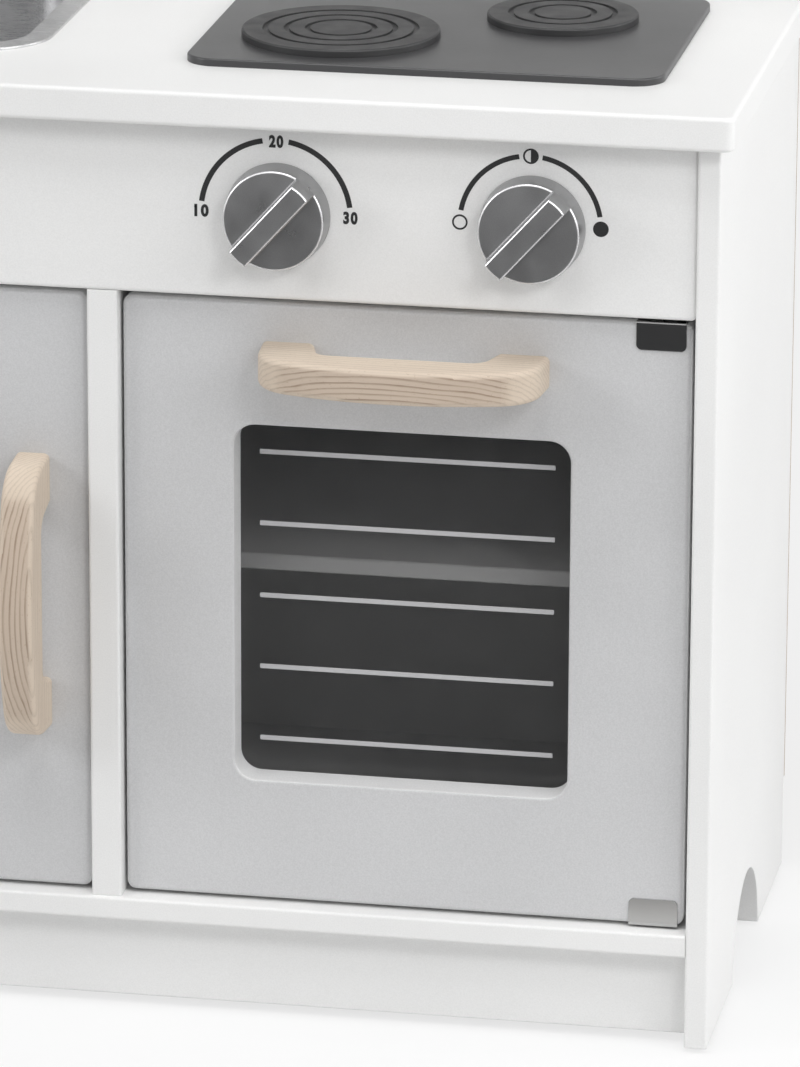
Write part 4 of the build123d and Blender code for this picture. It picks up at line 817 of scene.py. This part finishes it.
paneLines = rackLines()
dress(paneLines, lineInk, "oven_door")
print("stage: pane lines")


# the control knobs: a body that narrows to the front, with the grip bar standing across its face
# the rise is the body's height, the grip stands above it, and the root reaches into the body
knob = {"base": 27.4 * mm, "front": 24.85 * mm, "rise": 13.4 * mm, "grip": 12.0 * mm,
        "gripFoot": 12.0 * mm, "gripFront": 11.0 * mm, "turn": math.radians(-48), "edge": 0.75 * mm,
        "corner": 1.3 * mm, "flare": 0.4 * mm, "root": 2.0 * mm, "inward": 0.02 * mm,
        "boss": 6.0 * mm, "panelGap": 0.4 * mm, "sides": 144, "segments": 4, "near": 0.1 * mm,
        "merge": 0.004 * mm, "sharp": math.radians(40), "smooth": math.radians(28),
        "flatFace": 50 * mm * mm}


def knobRadius(height):
    share = height / (knob["rise"] + knob["grip"])
    return knob["base"] + (knob["front"] - knob["base"]) * share


def knobBody(bossDepth):
    bpy.ops.object.select_all(action="DESELECT")
    bpy.ops.mesh.primitive_cylinder_add(vertices=knob["sides"], radius=knob["base"], depth=knob["rise"],
                                        location=(0, 0, knob["rise"] / 2))
    body = bpy.context.object
    body.data.materials.append(knobPlastic)
    body.data.materials.append(knobRimHighlight)
    settle(body)
    editing(True)
    pick("faces", lambda f: f.normal.z > 0.9)
    taper = knobRadius(knob["rise"]) / knob["base"]
    bpy.ops.transform.resize(value=(taper, taper, 1), center_override=(0, 0, knob["rise"]))
    pick("faces", lambda f: f.normal.z < -0.9)
    bpy.ops.mesh.inset(thickness=knob["base"] - knob["boss"])
    bpy.ops.mesh.extrude_region_move(TRANSFORM_OT_translate={"value": (0, 0, -bossDepth)})
    pick("edges", lambda e: all(v.co.z > knob["rise"] - knob["near"] for v in e.verts))
    # the rim bevel takes the second, pale material: a painted highlight
    bpy.ops.mesh.bevel(offset=knob["edge"], segments=knob["segments"], material=1)
    editing(False)
    return body


def knobGrip():
    # rooted a little inside the body, with drafted sides that flare at the foot
    foot = knob["rise"] - knob["root"]
    top = knob["rise"] + knob["grip"]
    bpy.ops.object.select_all(action="DESELECT")
    bpy.ops.mesh.primitive_cone_add(vertices=knob["sides"], radius1=knobRadius(foot) - knob["inward"],
                                    radius2=knobRadius(top) - knob["inward"], depth=top - foot,
                                    location=(0, 0, (top + foot) / 2))
    grip = bpy.context.object
    grip.data.materials.append(knobPlastic)
    grip.data.materials.append(knobRimHighlight)
    settle(grip)
    editing(True)
    draft = (knob["gripFoot"] - knob["gripFront"]) / 2 / knob["grip"]
    for side in (-1, 1):
        bpy.ops.mesh.select_all(action="SELECT")
        bpy.ops.mesh.bisect(plane_co=(0, side * knob["gripFoot"] / 2, knob["rise"]),
                            plane_no=(0, side, draft), clear_outer=True, use_fill=True)
    pick("edges", lambda e: len(e.link_faces) == 2 and e.calc_face_angle() > knob["sharp"]
         and abs(e.verts[0].co.z - e.verts[1].co.z) > knob["grip"])
    bpy.ops.mesh.bevel(offset=knob["corner"], segments=knob["segments"])
    for height in (knob["rise"], knob["rise"] + knob["flare"]):
        bpy.ops.mesh.select_all(action="SELECT")
        bpy.ops.mesh.bisect(plane_co=(0, 0, height), plane_no=(0, 0, 1))
    pick("verts", lambda v: v.co.z < knob["rise"] + knob["near"])
    wider = 1 + 2 * knob["flare"] / knob["gripFoot"]
    bpy.ops.transform.resize(value=(1, wider, 1), center_override=(0, 0, knob["rise"]))
    pick("edges", lambda e: all(v.co.z > top - knob["near"] for v in e.verts))
    # the grip's top bevel takes the pale rim material too: a painted highlight
    bpy.ops.mesh.bevel(offset=knob["edge"], segments=knob["segments"], material=1)
    editing(False)
    return grip


def turnKnob(name):
    low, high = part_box(name)
    piece = knobBody(high.y - panelFace + knob["panelGap"])
    piece.name = name + "_cap"
    grip = knobGrip()
    only(piece)
    joint = piece.modifiers.new("grip", "BOOLEAN")
    joint.operation = "UNION"
    joint.object = grip
    bpy.ops.object.modifier_apply(modifier=joint.name)
    only(grip)
    bpy.ops.object.delete()
    only(piece)
    editing(True)
    bpy.ops.mesh.remove_doubles(threshold=knob["merge"])
    bpy.ops.mesh.normals_make_consistent(inside=False)
    editing(False)
    bpy.ops.object.shade_smooth_by_angle(angle=knob["smooth"])
    editing(True)
    pick("faces", lambda f: f.calc_area() > knob["flatFace"])
    bpy.ops.mesh.faces_shade_flat()
    editing(False)
    piece.rotation_euler = (math.pi / 2, knob["turn"], 0)
    piece.location = ((low.x + high.x) / 2, panelFace - knob["panelGap"], (low.z + high.z) / 2)
    settle(piece)
    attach(piece, name)
    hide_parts(name)


turnKnob("timer_knob")
turnKnob("heat_knob")
print("stage: control knobs")


# screws with a cross recess, in place of the plain ones
screw = {"apart": 12 * mm, "sides": 32, "armLong": 0.62, "armWide": 0.20, "recess": 0.62,
         "round": 0.42, "tip": 0.25, "foot": 0.5, "segments": 4, "smooth": math.radians(35),
         "rim": 0.9, "turn": 0.3, "turnStep": 0.9}


def screwSpots(name):
    # the middle of each loose screw in a CAD node, with its head, shank and reach
    groups = []
    for corner in nodes[name].data.vertices:
        near = [g for g in groups if math.hypot(corner.co.x - g[0].x, corner.co.z - g[0].z) < screw["apart"]]
        if near:
            near[0].append(corner.co)
        else:
            groups.append([corner.co])
    spots = []
    for group in groups:
        middle = Vector([(min(c[i] for c in group) + max(c[i] for c in group)) / 2 for i in range(3)])
        away = [(math.hypot(c.x - middle.x, c.z - middle.z), c.y) for c in group]
        radius = max(a for a, _ in away)
        back = max(y for _, y in away)
        seat = min(y for a, y in away if a > screw["rim"] * radius)
        tip = min(y for _, y in away)
        shank = max(a for a, y in away if y < seat - mm)
        spots.append({"place": (middle.x, back, middle.z), "radius": radius, "head": back - seat,
                      "shank": shank, "length": seat - tip})
    return spots


def crossScrew(spot):
    radius, head, shank, length = (spot[key] for key in ("radius", "head", "shank", "length"))
    bpy.ops.object.select_all(action="DESELECT")
    bpy.ops.mesh.primitive_cylinder_add(vertices=screw["sides"], radius=radius, depth=head,
                                        location=(0, 0, -head / 2))
    piece = bpy.context.object
    settle(piece)
    editing(True)
    pick("faces", lambda f: f.normal.z < -0.9)
    bpy.ops.mesh.inset(thickness=radius - shank)
    bpy.ops.mesh.extrude_region_move(TRANSFORM_OT_translate={"value": (0, 0, 2 * shank - length)})
    bpy.ops.mesh.extrude_region_move(TRANSFORM_OT_translate={"value": (0, 0, -2 * shank)})
    bpy.ops.transform.resize(value=(screw["tip"], screw["tip"], 1), center_override=(0, 0, -head - length))
    pick("edges", lambda e: all(abs(v.co.z) < 0.01 * mm for v in e.verts))
    bpy.ops.mesh.bevel(offset=head * screw["round"], segments=screw["segments"])
    editing(False)
    arms = []
    for long, wide in ((screw["armLong"], screw["armWide"]), (screw["armWide"], screw["armLong"])):
        bpy.ops.object.select_all(action="DESELECT")
        bpy.ops.mesh.primitive_cube_add(size=1, location=(0, 0, 0))
        arm = bpy.context.object
        arm.scale = (2 * long * radius, 2 * wide * radius, 2 * head * screw["recess"])
        settle(arm)
        editing(True)
        pick("faces", lambda f: f.normal.z < -0.9)
        bpy.ops.transform.resize(value=(screw["foot"], screw["foot"], 1), center_override=(0, 0, 0))
        editing(False)
        arms.append(arm)
    for arm in arms:
        only(piece)
        cut = piece.modifiers.new("cross", "BOOLEAN")
        cut.operation = "DIFFERENCE"
        cut.object = arm
        bpy.ops.object.modifier_apply(modifier=cut.name)
    only(arms[0])
    arms[1].select_set(True)
    bpy.ops.object.delete()
    only(piece)
    bpy.ops.object.shade_smooth_by_angle(angle=screw["smooth"])
    return piece


def refitScrews(name, body):
    spots = screwSpots(name)
    made = []
    for number, spot in enumerate(spots):
        if spot["length"] != spots[0]["length"] or number == 0:
            first = crossScrew(spot)
            copy = first
        else:
            only(first)
            bpy.ops.object.duplicate()
            copy = bpy.context.object
        made.append(copy)
    for number, (copy, spot) in enumerate(zip(made, spots)):
        copy.rotation_euler = (-math.pi / 2, screw["turnStep"] * number + screw["turn"], 0)
        copy.location = spot["place"]
        settle(copy)
    whole = together(made, name + "_heads")
    dress(whole, zincSteel, body)
    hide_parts(name)


refitScrews("back_panel_screws", "carcass")
refitScrews("shelf_screws", "carcass")
refitScrews("oven_small_screws", "oven_door")
refitScrews("oven_handle_screws", "oven_door")
refitScrews("cupboard_handle_screws", "cupboard_door")
refitScrews("cupboard_clip_screws", "cupboard_door")
print("stage: screws")


# the coloured dots on the two tap knobs
dot = {"radius": 3.6 * mm, "height": 0.5 * mm, "sink": 0.2 * mm, "edge": 0.25 * mm, "sides": 48,
       "segments": 3, "smooth": math.radians(30)}


def tapDot(name, finish):
    low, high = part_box(name)
    middle = ((low.x + high.x) / 2, (low.y + high.y) / 2, high.z - dot["sink"] + dot["height"] / 2)
    bpy.ops.object.select_all(action="DESELECT")
    bpy.ops.mesh.primitive_cylinder_add(vertices=dot["sides"], radius=dot["radius"], depth=dot["height"],
                                        location=middle)
    piece = bpy.context.object
    piece.name = name + "_dot"
    settle(piece)
    editing(True)
    pick("edges", lambda e: all(v.co.z > middle[2] for v in e.verts))
    bpy.ops.mesh.bevel(offset=dot["edge"], segments=dot["segments"])
    editing(False)
    bpy.ops.object.shade_smooth_by_angle(angle=dot["smooth"])
    dress(piece, finish, name)


tapDot("hot_tap_knob", hotDye)
tapDot("cold_tap_knob", coldDye)
print("stage: tap dots")
